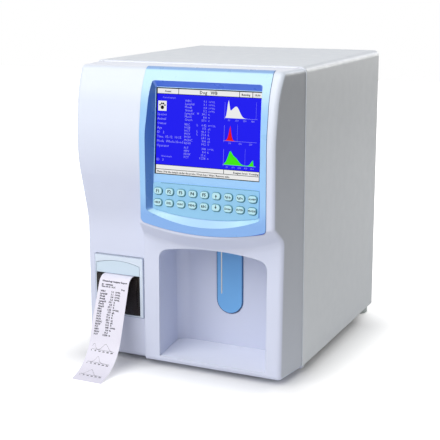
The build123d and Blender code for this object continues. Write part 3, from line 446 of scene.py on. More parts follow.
key_nodes = sorted(name for name in nodes if name.startswith("key_"))
dress(key_finish(), *key_nodes)
print("keys", len(key_nodes))

# %% [markdown]
# Clear and smoked plastics let light through. The printer's door is tinted, so
# only a little of the roll behind it shows. The baths and the syringe barrels
# are nearly clear.

# %% Clear plastics
def clear_plastic(name, code, clarity):
    """Tinted acrylic that passes part of the light."""
    material, tree, shader, place = new_material(name)
    colour = srgb(code)
    drifted = spread(tree, noise(tree, place, 12))
    base = laid_over(tree, drifted, shade(colour, 0.9), shade(colour, 1.1))
    tree.links.new(base, shader.inputs["Base Color"])
    glossed(tree, shader, place, 0.056, 0.104, 40)
    shader.inputs["Transmission Weight"].default_value = clarity
    shader.inputs["IOR"].default_value = 1.49
    return material


dress(clear_plastic("smoked_acrylic", "211a17", 0.35), "printer_door")
dress(clear_plastic("clear_acrylic", "e2e8ea", 0.85), "counting_baths", "syringe_barrels")
print("finishes so far", len(bpy.data.materials))

# %% [markdown]
# Thermal paper is white with a faint fibre, which is a fine, detailed noise in
# both its tone and its bump. The roll in the printer and the strip that hangs
# out of it share this finish.

# %% Thermal paper
def paper_finish():
    """Thermal paper: white with a faint fibre."""
    material, tree, shader, place = new_material("thermal_paper")
    fibre = spread(tree, noise(tree, place, 1500, 6))
    base = laid_over(tree, fibre, srgb("dfdce9"), srgb("e9e6f2"))
    tree.links.new(base, shader.inputs["Base Color"])
    glossed(tree, shader, place, 0.45, 0.60, 200)
    grained(tree, shader, place, 2500, 0.1, detail=4, depth=0.1 * MM)
    return material


thermal_paper = paper_finish()
dress(thermal_paper, "paper_roll")
print("paper finish", thermal_paper.name)

# %% [markdown]
# Ink is never quite even either: where it lies thin, it is a little paler. The
# same few lines make every ink, from the print on the paper to the thin lines
# round the keys.

# %% Inks
def ink_finish(name, code, roughness=0.6):
    """Printed ink, slightly uneven in tone."""
    material, tree, shader, place = new_material(name)
    uneven = spread(tree, noise(tree, place, 1200))
    base = laid_over(tree, uneven, srgb(code), shade(srgb(code), 1.5))
    tree.links.new(base, shader.inputs["Base Color"])
    glossed(tree, shader, place, roughness * 0.9, roughness * 1.1, 300)
    return material


print_ink = ink_finish("print_ink", "221e30")
key_ink = ink_finish("key_ink", "16282c")
navy_ink = ink_finish("navy_ink", "2c3d70", 0.4)
line_ink = ink_finish("line_ink", "6a7390")
# The outline ink is print, and round the keys it is also a painted shadow.
outline_ink = ink_finish("outline_ink", "356a78")
print("finishes so far", len(bpy.data.materials))

# %% [markdown]
# The display glows, so its colours are emission. A fine wave across them stands
# for the rows of pixels. The colours are kept at about their written strength,
# because a display that shines brighter than white loses its blue.

# %% Screen colours
def glow(name, code, strength=0.9):
    """An emissive display colour with faint pixel rows."""
    material, tree, shader, place = new_material(name)
    colour = srgb(code)
    rows = tree.nodes.new("ShaderNodeTexWave")
    rows.bands_direction = "Z"
    rows.inputs["Scale"].default_value = 1200
    tree.links.new(place, rows.inputs["Vector"])
    emitted = laid_over(tree, rows.outputs["Fac"], shade(colour, 0.92), colour)
    tree.links.new(emitted, shader.inputs["Emission Color"])
    shader.inputs["Emission Strength"].default_value = strength
    shader.inputs["Base Color"].default_value = (*shade(colour, 0.05), 1)
    shader.inputs["Roughness"].default_value = 0.35
    shader.inputs["Specular IOR Level"].default_value = 0.08
    return material


glow_blue = glow("glow_blue", "1c18ee", 1.0)
glow_white = glow("glow_white", "f4f4f4")
glow_pale = glow("glow_pale", "a3a1f8")
glow_red = glow("glow_red", "e8101c")
glow_green = glow("glow_green", "44f010")
glow_black = glow("glow_black", "101018", 0.3)
print("finishes so far", len(bpy.data.materials))

# %% [markdown]
# Screen and keys sit on one panel that leans back a few degrees. Marks on it
# are drawn flat, in the panel's own millimetres, and then laid on it at a
# height over its face. Words are text turned into mesh, and a filled curve is
# a grid of one row whose top edge follows the curve.

# %% Drawing on the panel
PANEL_TILT = radians(4.8)
PANEL_Y, PANEL_Z = -170.6 * MM, 232 * MM
PANEL = Matrix.Translation((0, PANEL_Y, PANEL_Z)) @ Matrix.Rotation(pi / 2 - PANEL_TILT, 4, "X")
LINE_SPACING = 0.98
CURVE_STEPS = 40
EULER = 2.718


def on_panel(piece, x, v, height, *materials):
    """Lay a flat piece, drawn round its own origin, on the panel and colour it."""
    piece.matrix_world = PANEL @ Matrix.Translation((x, v, height))
    for material in materials:
        piece.data.materials.append(material)
    return piece


def bar(x, v, width, depth, height, material):
    """A flat bar given by its lower left corner and size, in metres."""
    return on_panel(flat_plate(width, depth), x + width / 2, v + depth / 2, height, material)


def lettering(text, size, align, weight, spacing=LINE_SPACING):
    """Flat words round the origin; weight thickens their strokes."""
    deselect()
    bpy.ops.object.text_add()
    piece = bpy.context.object
    piece.data.body = text
    piece.data.size = size
    piece.data.resolution_u = 1
    piece.data.align_x = align
    piece.data.offset = weight
    piece.data.space_line = spacing
    bpy.ops.object.convert(target="MESH")
    return bpy.context.object


def words(text, x, v, size, height, material, align="LEFT", weight=0.0, spacing=LINE_SPACING):
    """Lettering laid on the panel."""
    return on_panel(lettering(text, size, align, weight, spacing), x, v, height, material)


def graph(x, v, width, rise, shape, height, material):
    """A filled curve: a one-row grid whose top edge follows shape."""
    deselect()
    bpy.ops.mesh.primitive_grid_add(x_subdivisions=CURVE_STEPS, y_subdivisions=1, size=1)
    piece = bpy.context.object
    for vertex in piece.data.vertices:
        along = vertex.co.x + 0.5
        top = vertex.co.y > 0
        vertex.co.x = along * width
        vertex.co.y = rise * shape(along) if top else 0
    return on_panel(piece, x, v, height, material)


def bell(along, centre, half, power=2.0):
    """A smooth bump that is 1 at its centre."""
    return EULER ** -(abs(along - centre) / half) ** power


print("panel leans", round(PANEL_TILT * 180 / pi, 1), "degrees")

# %% [markdown]
# The screen itself is a plate that shines blue inside a black rim, just in
# front of the display's glass. Everything on it is placed by shares of its
# width and height.

# %% Screen plate
SCREEN_LEFT, SCREEN_LOW = -32 * MM, 57.2 * MM
SCREEN_WIDTH, SCREEN_HEIGHT = 158 * MM, 119 * MM
SCREEN_RIM = 1.2 * MM
GLASS_DEPTH = -2.0 * MM
LAYER = 0.06 * MM
IMAGE = GLASS_DEPTH + 0.3 * MM
BACKING, MARKS, TOP_MARKS = IMAGE + LAYER / 2, IMAGE + LAYER, IMAGE + 2 * LAYER

image = flat_plate(SCREEN_WIDTH, SCREEN_HEIGHT)
bpy.ops.object.mode_set(mode="EDIT")
bpy.ops.mesh.inset(thickness=SCREEN_RIM, depth=0)
bpy.ops.object.mode_set(mode="OBJECT")
screen_middle = SCREEN_LEFT + SCREEN_WIDTH / 2, SCREEN_LOW + SCREEN_HEIGHT / 2
on_panel(image, *screen_middle, IMAGE, glow_black, glow_blue)
largest = max(image.data.polygons, key=lambda face: face.area)
largest.material_index = 1
settle(image, "screen_image")
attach(image, "cabinet")
print("screen faces", len(image.data.polygons))

# %% [markdown]
# The screen shows a blood count as such a machine would. White cells with thin
# black lines between them make the title bar and the two bars at the foot. All
# the words are generic.

# %% Title and foot bars
TITLE_SIZES = (("Count", 0.11, 3.8), ("Dog   WB", 0.50, 6.4), ("Running", 0.845, 3.8), ("10:30", 0.95, 3.8))
TITLE_LINE = 1.9 * MM
FOOT_SIZE = 3.7 * MM
STEPS = "Menu | Put the sample under the probe / Press key / Wait / Remove tube"
FOOT_WORDS = (("Reagent level / Counting", 0.985, 0.928, "RIGHT"), (STEPS, 0.02, 0.98, "LEFT"))


def screen_x(share):
    """Place across the panel of a share of the screen's width."""
    return SCREEN_LEFT + share * SCREEN_WIDTH


def screen_v(share):
    """Height on the panel of a share measured down from the screen's top."""
    return SCREEN_LOW + (1 - share) * SCREEN_HEIGHT


def strip(low, high, left, right, height, material):
    """A bar across part of the screen, given in shares of its size."""
    width = (right - left) * SCREEN_WIDTH
    return bar(screen_x(left), screen_v(low), width, (low - high) * SCREEN_HEIGHT, height, material)


marks = []
for low, high in ((0.074, 0.006), (0.997, 0.886)):
    marks.append(strip(low, high, 0.005, 0.995, BACKING, glow_black))
for left, right in ((0.01, 0.212), (0.217, 0.785), (0.79, 0.905), (0.91, 0.99)):
    marks.append(strip(0.068, 0.012, left, right, MARKS, glow_white))
for left, right in ((0.01, 0.66), (0.665, 0.99)):
    marks.append(strip(0.939, 0.892, left, right, MARKS, glow_white))
marks.append(strip(0.991, 0.945, 0.01, 0.99, MARKS, glow_white))
for text, share, size in TITLE_SIZES:
    title_v = screen_v(0.068) + TITLE_LINE - (size - 3.4) * 0.2 * MM
    title_x = screen_x(share)
    marks.append(words(text, title_x, title_v, size * MM, TOP_MARKS, glow_black, "CENTER", 0.12 * MM))
for text, across, down, align in FOOT_WORDS:
    foot_x, foot_v = screen_x(across), screen_v(down)
    marks.append(words(text, foot_x, foot_v, FOOT_SIZE, TOP_MARKS, glow_black, align, 0.1 * MM))
print("screen marks", len(marks))

# %% [markdown]
# Below the title stand the sample's details on the left and three blocks of
# results in the middle, each with its names, its values and its units. The
# numbers are made up, and a letter flags those that are high or low.

# %% Details and results
LINE = 4.35 * MM
DETAIL, SMALL = 4.9 * MM, 3.2 * MM
DETAILS = "Species\nAnimal\nOwner\nAge\nID   2\nTime  05-12  10:15\nMode  Whole blood\nOperator"
RESULTS = (
    ("WBC\nLymph#\nMon#\nGran#\nLymph%\nMon%\nGran%", "9.1\n3.1\n0.8\n5.2\n34.1\n8.8\n57.1",
     "10^9/L\n10^9/L\n10^9/L\n10^9/L\n%\n%\n%", 0.152),
    ("RBC\nHGB\nHCT\nMCV\nMCH\nMCHC\nRDW", "6.42\n155\n46.1\n71.8\n24.1\n336\n14.2",
     "10^12/L\ng/L\n%\nfL\npg\ng/L\n%", 0.42),
    ("PLT\nMPV\nPDW\nPCT", "308\n8.4\n15.6\n0.258", "10^9/L\nfL\n\n%", 0.688),
)


def pale(text, across, down, size, align="LEFT", spacing=LINE_SPACING):
    """Pale lettering at shares of the screen's width and height."""
    place = screen_x(across), screen_v(down)
    marks.append(words(text, *place, size, MARKS, glow_pale, align, spacing=spacing))


for names, values, units, start in RESULTS:
    pale(names, 0.278, start, LINE)
    pale(values, 0.488, start, LINE, "RIGHT")
    pale(units, 0.502, start, LINE * 0.82, spacing=1.195)
for flag, share in (("H", 0.29), ("L", 0.42), ("L", 0.49), ("L", 0.525)):
    pale(flag, 0.395, share, LINE)
pale("Current sample", 0.06, 0.122, SMALL)
pale(DETAILS, 0.012, 0.32, DETAIL, spacing=1.25)
pale("Next sample", 0.06, 0.797, SMALL)
pale("ID   3", 0.012, 0.845, DETAIL)
print("screen marks", len(marks))

# %% [markdown]
# The species badge is a white square with a paw made of five round pads, each
# a filled circle. It says in one sign that this machine counts animals' blood.

# %% Species badge
BADGE = 13 * MM
PAW = ((0.5, 0.36, 0.20), (0.22, 0.62, 0.09), (0.41, 0.76, 0.10), (0.62, 0.76, 0.10), (0.80, 0.60, 0.09))
badge_x, badge_v = screen_x(0.018), screen_v(0.268)
marks.append(bar(badge_x, badge_v, BADGE, BADGE * 1.05, MARKS, glow_white))
for across, up, size in PAW:
    pad = flat_disc(20, size * BADGE)
    pad_x, pad_v = badge_x + across * BADGE, badge_v + up * BADGE
    marks.append(on_panel(pad, pad_x, pad_v, TOP_MARKS, glow_black))
print("screen marks", len(marks))

# %% [markdown]
# Three histograms show how many cells there are of each size: white cells, red
# cells and platelets. Each curve is made of bell-shaped bumps. Thin bars make
# the axes and a marker line, and numbers stand under the lower axis.

# %% Histograms
GRAPH_LEFT, GRAPH_WIDTH = screen_x(0.662), 0.29 * SCREEN_WIDTH
AXIS_HEIGHT = 0.19 * SCREEN_HEIGHT
HAIR = 0.3 * MM


def white_cells(t):
    """A narrow peak and a wide hump."""
    return bell(t, 0.093, 0.045) * 0.95 + bell(t, 0.345, 0.15) * 0.70 + bell(t, 0.18, 0.09) * 0.22


def red_cells(t):
    """One sharp peak."""
    return bell(t, 0.17, 0.05, 1.3)


def platelets(t):
    """A leaning hump and a rise that is cut off at the right."""
    tail = bell(t, 0.93, 0.09) * 0.42 if t < 0.93 else 0
    return bell(t, 0.19, 0.10, 1.7) * 0.85 + bell(t, 0.36, 0.15) * 0.48 + tail + 0.03


GRAPHS = (
    (0.307, 0.185, glow_white, white_cells, 4, 0.97),
    (0.563, 0.18, glow_red, red_cells, 3, 0.40),
    (0.833, 0.155, glow_green, platelets, 5, 0.67),
)
for share, rise, colour, shape, ticks, marker in GRAPHS:
    base = screen_v(share)
    marks.append(graph(GRAPH_LEFT, base, GRAPH_WIDTH, rise * SCREEN_HEIGHT, shape, MARKS, colour))
    marks.append(bar(GRAPH_LEFT - 2 * MM, base - HAIR, GRAPH_WIDTH + 3 * MM, HAIR, MARKS, glow_pale))
    marks.append(bar(GRAPH_LEFT - 1 * MM, base - 2 * MM, HAIR, AXIS_HEIGHT, MARKS, glow_pale))
    marks.append(bar(GRAPH_LEFT + marker * GRAPH_WIDTH, base, 0.6 * HAIR, AXIS_HEIGHT, MARKS, glow_pale))
    for tick in range(ticks):
        tick_x = GRAPH_LEFT + (tick + 0.5) / ticks * GRAPH_WIDTH
        number = str(50 + 100 * tick)
        marks.append(words(number, tick_x, base - 4.2 * MM, 3.3 * MM, MARKS, glow_pale, "CENTER"))
screen_marks = joined(marks, "screen_marks")
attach(screen_marks, "cabinet")
print("screen marks mesh", len(screen_marks.data.polygons))

# %% [markdown]
# Each key carries its own print, because each key can be pushed alone. A label
# is a word, or an arrow made of a three-sided disc and a bar.

# %% Key labels
KEY_X0, KEY_STEP = -24.4 * MM, 17.8 * MM
KEY_ROWS = (34.1 * MM, 18.2 * MM)
KEY_TOP = 3.0 * MM
LABEL_HEIGHT = KEY_TOP + 0.04 * MM
LABEL_SIZES = {2: 6.0 * MM, 3: 4.3 * MM, 4: 4.0 * MM, 5: 3.4 * MM}
LABELS = (
    ("F1", "F2", "F3", "F4", "F5", "up", "PgUp", "PgDn", "ALARM"),
    ("HELP", "DEL", "PRINT", "MENU", "REC", "down", "Draw", "ENTER", "MODE"),
)


def arrow(x, v, direction):
    """A small arrow: a three-sided circle with a bar for its stem."""
    head = flat_disc(3, 1.9 * MM)
    if direction == "down":
        head.rotation_euler.z = pi
    bpy.ops.object.transform_apply(location=False, rotation=True, scale=False)
    on_panel(head, x, v, LABEL_HEIGHT, key_ink)
    stem_v = v - 3.2 * MM if direction == "up" else v + 0.9 * MM
    return [head, bar(x - 0.5 * MM, stem_v, 1 * MM, 2.3 * MM, LABEL_HEIGHT, key_ink)]


def key_label(label, x, v):
    """The word or arrow on a key, centred on it."""
    if label in ("up", "down"):
        return arrow(x, v, label)
    size = LABEL_SIZES[len(label)]
    return [words(label, x, v - size * 0.34, size, LABEL_HEIGHT, key_ink, "CENTER", 0.035 * size)]


print("labels", len(LABELS) * len(LABELS[0]))

# %% [markdown]
# A label rides on its key's body. The outline round the key is printed on the
# film, so it stays still when the key is pushed. It lies a little lower right,
# so it also stands for the key's shadow: partly print, partly painted shadow.
# A long thin bar lies along the film's top.

# %% Labels and outlines on the keys
KEY_WIDTH, KEY_HEIGHT = 12.8 * MM, 9.8 * MM
OUTLINE_GROWTH, OUTLINE_WIDTH, KEY_SHADOW_SHIFT = 1.1 * MM, 0.8 * MM, 0.4 * MM
OUTLINE_CORNER = 4.8 * MM
FILM_PRINT = 1.23 * MM


def outline_with_shadow(x, v):
    """A thin rounded ring on the film round a key, shifted as a painted shadow."""
    ring = flat_plate(KEY_WIDTH + OUTLINE_GROWTH, KEY_HEIGHT + OUTLINE_GROWTH)
    ring = rim_of(rounded(ring, OUTLINE_CORNER, 6), OUTLINE_WIDTH)
    # Shifted lower right, the ring is also a painted shadow of the key.
    return on_panel(ring, x + KEY_SHADOW_SHIFT, v - KEY_SHADOW_SHIFT, FILM_PRINT, outline_ink)


outlines = []
for row, key_v in enumerate(KEY_ROWS):
    for column, label in enumerate(LABELS[row]):
        key_x = KEY_X0 + column * KEY_STEP
        mark = joined(key_label(label, key_x, key_v), f"key_mark_{row + 1}_{column + 1}")
        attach(mark, f"key_{row + 1}_{column + 1}_cap")
        outlines.append(outline_with_shadow(key_x, key_v))
outlines.append(bar(-21 * MM, 45.2 * MM, 148 * MM, 0.5 * MM, FILM_PRINT, outline_ink))
film_print = joined(outlines, "film_print")
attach(film_print, "cabinet")
print("film print", len(film_print.data.polygons))

# %% [markdown]
# A thin dark line runs round the printer's face, where it meets the column. It
# is the shadow in the joint between two mouldings.

# %% Line round the printer
PRINTER_LEFT, PRINTER_RIGHT = -143.2 * MM, -62.6 * MM
PRINTER_LOW, PRINTER_HIGH = 69 * MM, 159 * MM
PRINTER_LINE_Y = -149.84 * MM
edge_line = rim_of(flat_plate(PRINTER_RIGHT - PRINTER_LEFT, PRINTER_HIGH - PRINTER_LOW), 0.55 * MM)
edge_line.rotation_euler.x = pi / 2
printer_x, printer_z = (PRINTER_LEFT + PRINTER_RIGHT) / 2, (PRINTER_LOW + PRINTER_HIGH) / 2
edge_line.location = (printer_x, PRINTER_LINE_Y, printer_z)
edge_line.data.materials.append(line_ink)
settle(edge_line, "printer_line")
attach(edge_line, "cabinet")
print("printer line faces", len(edge_line.data.polygons))

# %% [markdown]
# The blue aspirate key has a dark line round its face. The line starts as a
# flat plate whose two lower corners are rounded, and moves with the key. The
# key's height and front come from its CAD node.

# %% Line round the aspirate key
ASPIRATE_X, ASPIRATE_WIDTH = 39.5 * MM, 41 * MM
key_low, key_high = limits("aspirate_key", 2)
key_front = limits("aspirate_key", 1)[0]
key_line = flat_plate(ASPIRATE_WIDTH, key_high - key_low)
bpy.ops.object.mode_set(mode="EDIT")
bpy.ops.mesh.select_all(action="DESELECT")
bpy.ops.object.mode_set(mode="OBJECT")
for vertex in key_line.data.vertices:
    vertex.select = vertex.co.y < 0
rounded(key_line, ASPIRATE_WIDTH / 2 - 0.1 * MM, 18)
rim_of(key_line, 0.8 * MM)
key_line.rotation_euler.x = pi / 2
key_line.location = (ASPIRATE_X, key_front - 0.05 * MM, (key_low + key_high) / 2)
key_line.data.materials.append(navy_ink)
settle(key_line, "aspirate_line")
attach(key_line, "aspirate_paddle")
print("aspirate line faces", len(key_line.data.polygons))

# %% [markdown]
# A pale seal closes the small step between the moulding's top and the cover. It
# is a thin bar with a disc at each end, which fills the cover's round corner.

# %% Seal under the cover's front edge
SEAM_Y, MOULDING_TOP, COVER_TOP = -94.9 * MM, 434.5 * MM, 437 * MM
COVER_HALF, COVER_CORNER, COVER_SHEET = 164 * MM, 9 * MM, 1.2 * MM
SEAL_DEPTH, SEAL_GAP = 0.6 * MM, 0.05 * MM
corner_x, corner_z = COVER_HALF - COVER_CORNER, COVER_TOP - COVER_CORNER
seal_height = COVER_TOP - COVER_SHEET - MOULDING_TOP
deselect()
bpy.ops.mesh.primitive_cube_add(size=1)
seal_bar = bpy.context.object
seal_bar.scale = (2 * corner_x - 4 * MM, SEAL_DEPTH, seal_height)
seal_bar.location = (0, SEAM_Y, MOULDING_TOP + seal_height / 2)
seal_parts = [seal_bar]
for side in (-1, 1):
    deselect()
    disc_radius = COVER_CORNER - COVER_SHEET - SEAL_GAP
    bpy.ops.mesh.primitive_cylinder_add(vertices=48, radius=disc_radius, depth=SEAL_DEPTH)
    seal_end = bpy.context.object
    seal_end.rotation_euler.x = pi / 2
    seal_end.location = (side * corner_x, SEAM_Y, corner_z)
    seal_parts.append(seal_end)
seal = joined(seal_parts, "cover_seal")
seal.data.materials.append(finish("seal_white", "eef1f8", 0.40, 2000, 0.05, 0.01))
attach(seal, "cabinet")
print("seal height", round(seal_height, 5))

# %% [markdown]
# The paper strip leaves the slot, curls over and runs down to the bench. Its
# middle line is a run of straight pieces and arcs in Y and Z, given by its
# corners and the radius at each bend. The sum of the pieces is its real length.

# %% Paper path
PATH = [(-133, 130.4), (-161, 130.4), (-203, 12), (-247, 0.35)]
CURLS = [14, 66]


def path_pieces():
    """Straight runs and arcs of the paper's middle line, in Y and Z."""
    corners = [Vector(point) * MM for point in PATH]
    pieces = []
    start = corners[0]
    for index, curl_radius in enumerate(CURLS):
        radius = curl_radius * MM
        corner, after = corners[index + 1], corners[index + 2]
        come = (corner - start).normalized()
        go = (after - corner).normalized()
        bend = come.angle(go)
        cut = radius * tan(bend / 2)
        entry = corner - come * cut
        side = 1 if come.x * go.y - come.y * go.x > 0 else -1
        pieces.append(("line", start, come, (entry - start).length))
        pieces.append(("arc", entry, come, radius * bend, side / radius))
        start = corner + go * cut
    pieces.append(("line", start, go, (corners[-1] - start).length))
    return pieces


PIECES = path_pieces()
PAPER_LENGTH = sum(piece[3] for piece in PIECES)


def on_path(distance):
    """Point and direction of the middle line at a distance along it."""
    rest = distance
    for piece in PIECES:
        kind, start, along, length = piece[:4]
        if rest <= length or piece is PIECES[-1]:
            break
        rest -= length
    if kind == "line":
        return start + along * rest, along
    curvature = piece[4]
    turn = curvature * rest
    across = Vector((-along.y, along.x))
    point = start + along * (sin(turn) / curvature) + across * ((1 - cos(turn)) / curvature)
    return point, along * cos(turn) + across * sin(turn)


print("paper length", round(PAPER_LENGTH, 4))

# %% [markdown]
# The strip is a flat grid first, and is then carried onto the path, the way
# paper takes its curl off the roll. It is slightly cupped across, and its left
# edge runs a little further forward, which gives the twist seen in the
# photograph. Solidify gives it its thickness.

# %% Paper strip
PAPER_WIDTH = 48.4 * MM
PAPER_MIDDLE = -102.8 * MM
PAPER_THICKNESS = 0.12 * MM
TWIST, CUP = 4.2 * MM, 0.8 * MM


def curl(piece, lift):
    """Carry a piece drawn flat (X across, Y down the strip) onto the path."""
    for vertex in piece.data.vertices:
        across, down = vertex.co.x, vertex.co.y
        point, along = on_path(down)
        outward = Vector((along.y, -along.x))
        share = down / PAPER_LENGTH
        twist = TWIST * sin(pi * share) ** 2 * (0.5 - across / PAPER_WIDTH)
        cup = CUP * (2 * across / PAPER_WIDTH) ** 2 * sin(pi * share)
        point = point + outward * (lift + twist - cup)
        vertex.co = (PAPER_MIDDLE + across, point.x, point.y)


deselect()
bpy.ops.mesh.primitive_grid_add(x_subdivisions=12, y_subdivisions=110, size=1)
paper = bpy.context.object
paper.scale = (PAPER_WIDTH, PAPER_LENGTH, 1)
paper.location.y = PAPER_LENGTH / 2
settle(paper, "paper_sheet")
curl(paper, 0)
bpy.ops.object.modifier_add(type="SOLIDIFY")
paper.modifiers[-1].thickness = PAPER_THICKNESS
paper.modifiers[-1].offset = 0
bpy.ops.object.modifier_apply(modifier=paper.modifiers[-1].name)
bpy.ops.object.shade_smooth_by_angle(angle=radians(40))
paper.data.materials.append(thermal_paper)
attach(paper, "cabinet")
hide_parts("paper_strip")
print("paper faces", len(paper.data.polygons))

# %% [markdown]
# The print is drawn flat as well and takes the same curl. Words are mirrored,
# because the strip's Y runs downwards. A printed line is a one-row grid whose
# columns move to the line's points.

# %% Printing helpers
PRINT_WEIGHT = 0.18 * MM


def flat_words(text, x, y, size, align="LEFT"):
    """Lettering on the flat strip: x across from the left edge, y down it."""
    piece = lettering(text, size, align, PRINT_WEIGHT, 1.0)
    piece.location = (x - PAPER_WIDTH / 2, y, 0)
    piece.scale.y = -1
    return settle(piece, "print")


def flat_line(points, width):
    """A thin printed line through points on the flat strip."""
    deselect()
    runs = len(points) - 1
    bpy.ops.mesh.primitive_grid_add(x_subdivisions=runs, y_subdivisions=1, size=1)
    piece = bpy.context.object
    for vertex in piece.data.vertices:
        x, y = points[round((vertex.co.x + 0.5) * runs)]
        half = width / 2 if vertex.co.y > 0 else -width / 2
        vertex.co = (x - PAPER_WIDTH / 2, y + half, 0)
    bpy.ops.object.mode_set(mode="EDIT")
    bpy.ops.mesh.select_all(action="SELECT")
    bpy.ops.mesh.flip_normals()
    bpy.ops.object.mode_set(mode="OBJECT")
    piece.name = "print"
    return piece


print("print weight", PRINT_WEIGHT)

# %% [markdown]
# The report repeats the screen's made-up results as a list: a heading, two
# lines about the sample, then a name, a value and mostly a unit on each row.

# %% Printed list
MARGIN = 5 * MM
VALUE_RIGHT, UNIT_LEFT = 27 * MM, 29 * MM
FIRST_LINE, FIRST_ROW, ROW = 34 * MM, 49 * MM, 3.7 * MM
LIST = (
    ("WBC", "9.1", "10^9/L"), ("Lymph#", "3.1", "10^9/L"), ("Mon#", "0.8", "10^9/L"),
    ("Gran#", "5.2", "10^9/L"), ("Lymph%", "34.1", "%"), ("Mon%", "8.8", "%"), ("Gran%", "57.1", "%"),
    ("RBC", "6.42", "10^12/L"), ("HGB", "155", "g/L"), ("HCT", "46.1", "%"), ("MCV", "71.8", "fL"),
    ("MCH", "24.1", "pg"), ("MCHC", "336", "g/L"), ("RDW", "14.2", "%"), ("PLT", "308", "10^9/L"),
    ("MPV", "8.4", "fL"), ("PDW", "15.6", ""), ("PCT", "0.258", "%"),
)
printed = [flat_words("Hematology Analyzer Report", MARGIN, FIRST_LINE, 3.4 * MM)]
printed.append(flat_words("ID:   00000024\nTime: 05-12  10:15", MARGIN, FIRST_LINE + 5 * MM, 3.0 * MM))
printed.append(flat_words("Dog", 38 * MM, FIRST_LINE + 10 * MM, 3.0 * MM))
for index, (name, value, unit) in enumerate(LIST):
    y = FIRST_ROW + index * ROW
    printed.append(flat_words(name, MARGIN, y, 3.5 * MM))
    printed.append(flat_words(value, VALUE_RIGHT, y, 3.5 * MM, "RIGHT"))
    if unit:
        printed.append(flat_words(unit, UNIT_LEFT, y, 3.1 * MM))
print("printed words", len(printed))

# %% [markdown]
# Three thin curves follow the list, each over a base line with its numbers.
# Then the whole print is cut into triangles, so that it can bend, and curled
# a hair above the paper.

# %% Printed curves
CURVE_LEFT, CURVE_WIDTH, CURVE_RISE = 6, 34, 11
CURVES = (
    (lambda t: bell(t, 0.08, 0.10) * 0.75 + bell(t, 0.62, 0.17) * 0.85, 133),
    (lambda t: bell(t, 0.42, 0.11, 1.5) * 0.95, 153),
    (lambda t: bell(t, 0.40, 0.18) * 0.9, 176),
)
for shape, down in CURVES:
    points = []
    for step in range(CURVE_STEPS + 1):
        t = step / CURVE_STEPS
        points.append(((CURVE_LEFT + t * CURVE_WIDTH) * MM, (down - CURVE_RISE * shape(t)) * MM))
    printed.append(flat_line(points, 0.45 * MM))
    base_points = [((CURVE_LEFT + 3 * step) * MM, down * MM) for step in range(13)]
    printed.append(flat_line(base_points, 0.35 * MM))
    for tick in range(6):
        tick_x = (CURVE_LEFT + tick * 6.6) * MM
        printed.append(flat_words(str(tick * 50), tick_x, (down + 3) * MM, 2.4 * MM, "CENTER"))
print_marks = joined(printed, "print_marks")
bpy.ops.object.mode_set(mode="EDIT")
bpy.ops.mesh.select_all(action="SELECT")
bpy.ops.mesh.quads_convert_to_tris()
bpy.ops.object.mode_set(mode="OBJECT")
curl(print_marks, PAPER_THICKNESS)
print_marks.data.materials.clear()
print_marks.data.materials.append(print_ink)
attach(print_marks, "cabinet")
print("print marks", len(print_marks.data.polygons))

# %% [markdown]
# Paper and print each get a mesh of their own, and the strip's flat size is printed.

# %% Own meshes for paper and print
for piece in (paper, print_marks):
    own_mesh(piece)
print("sheet", round(PAPER_WIDTH, 4), "x", round(PAPER_LENGTH, 4))

# %% [markdown]
# The back can't be seen in the photograph. It gets what such a panel carries: a
# coloured ring and a word at each hose spigot, so that no hose goes on the
# wrong one, and names for the two sockets. They are drawn flat and turned round.

# %% Marks on the rear panel
BACK_Y = 233.0 * MM
BACK_PRINT = 0.05 * MM
RING_RADIUS, RING_WIDTH = 9.5 * MM, 1.8 * MM
SPIGOT_Z = 60 * MM
SPIGOTS = (
    ("DILUENT", -70, "2f8f4e"), ("LYSE", -50, "d98a1c"),
    ("CLEANER", -30, "2a6fc0"), ("WASTE", -10, "b8302c"),
)


def on_back(piece, x, z, lift, material):
    """Turn a flat piece, drawn round its own origin, to face backwards, and colour it."""
    turned = Matrix.Rotation(pi, 4, "Z") @ Matrix.Rotation(pi / 2, 4, "X")
    piece.matrix_world = Matrix.Translation((x, BACK_Y + lift, z)) @ turned
    piece.data.materials.append(material)
    return piece


def back_words(text, x, z, size):
    """Small lettering on the rear panel."""
    return on_back(lettering(text, size, "CENTER", 0.02 * size), x, z, BACK_PRINT, key_ink)


back_marks = [back_words("SERIAL", -111 * MM, 213 * MM, 4.4 * MM)]
back_marks.append(back_words("PRINTER", -109 * MM, 283 * MM, 4.4 * MM))
for text, x, code in SPIGOTS:
    ring = rim_of(flat_disc(40, RING_RADIUS), RING_WIDTH)
    on_back(ring, x * MM, SPIGOT_Z, BACK_PRINT, ink_finish("ring_" + text.lower(), code, 0.45))
    back_marks += [ring, back_words(text, x * MM, SPIGOT_Z - 18 * MM, 3.6 * MM)]
rear_print = joined(back_marks, "rear_print")
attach(rear_print, "cabinet")
print("rear print faces", len(rear_print.data.polygons))

# %% [markdown]
# A socket's pins stand in a dark insulator inside its metal shell. Each gets a
# dark plate, placed by the bounding box of the socket's CAD node.

# %% Socket insulators
INSULATOR_DEPTH = 7 * MM
insulators = []
for node, length in (("serial_port", 15 * MM), ("printer_port", 37 * MM)):
    flange_left = limits(node, 0)[0]
    middle_z = sum(limits(node, 2)) / 2
    face = flat_plate(INSULATOR_DEPTH, length)
    insulators.append(on_back(face, flange_left + 6.25 * MM, middle_z, 1.5 * MM, black_plastic))
port_faces = joined(insulators, "port_faces")
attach(port_faces, "cabinet")
print("insulator faces", len(port_faces.data.polygons))

# %% [markdown]
# A plain studio. The world lights the object evenly and softly, while the
# camera, reflections and clear plastic see it as white. The kind of ray decides
# which, so the white background adds no soft light to the object.

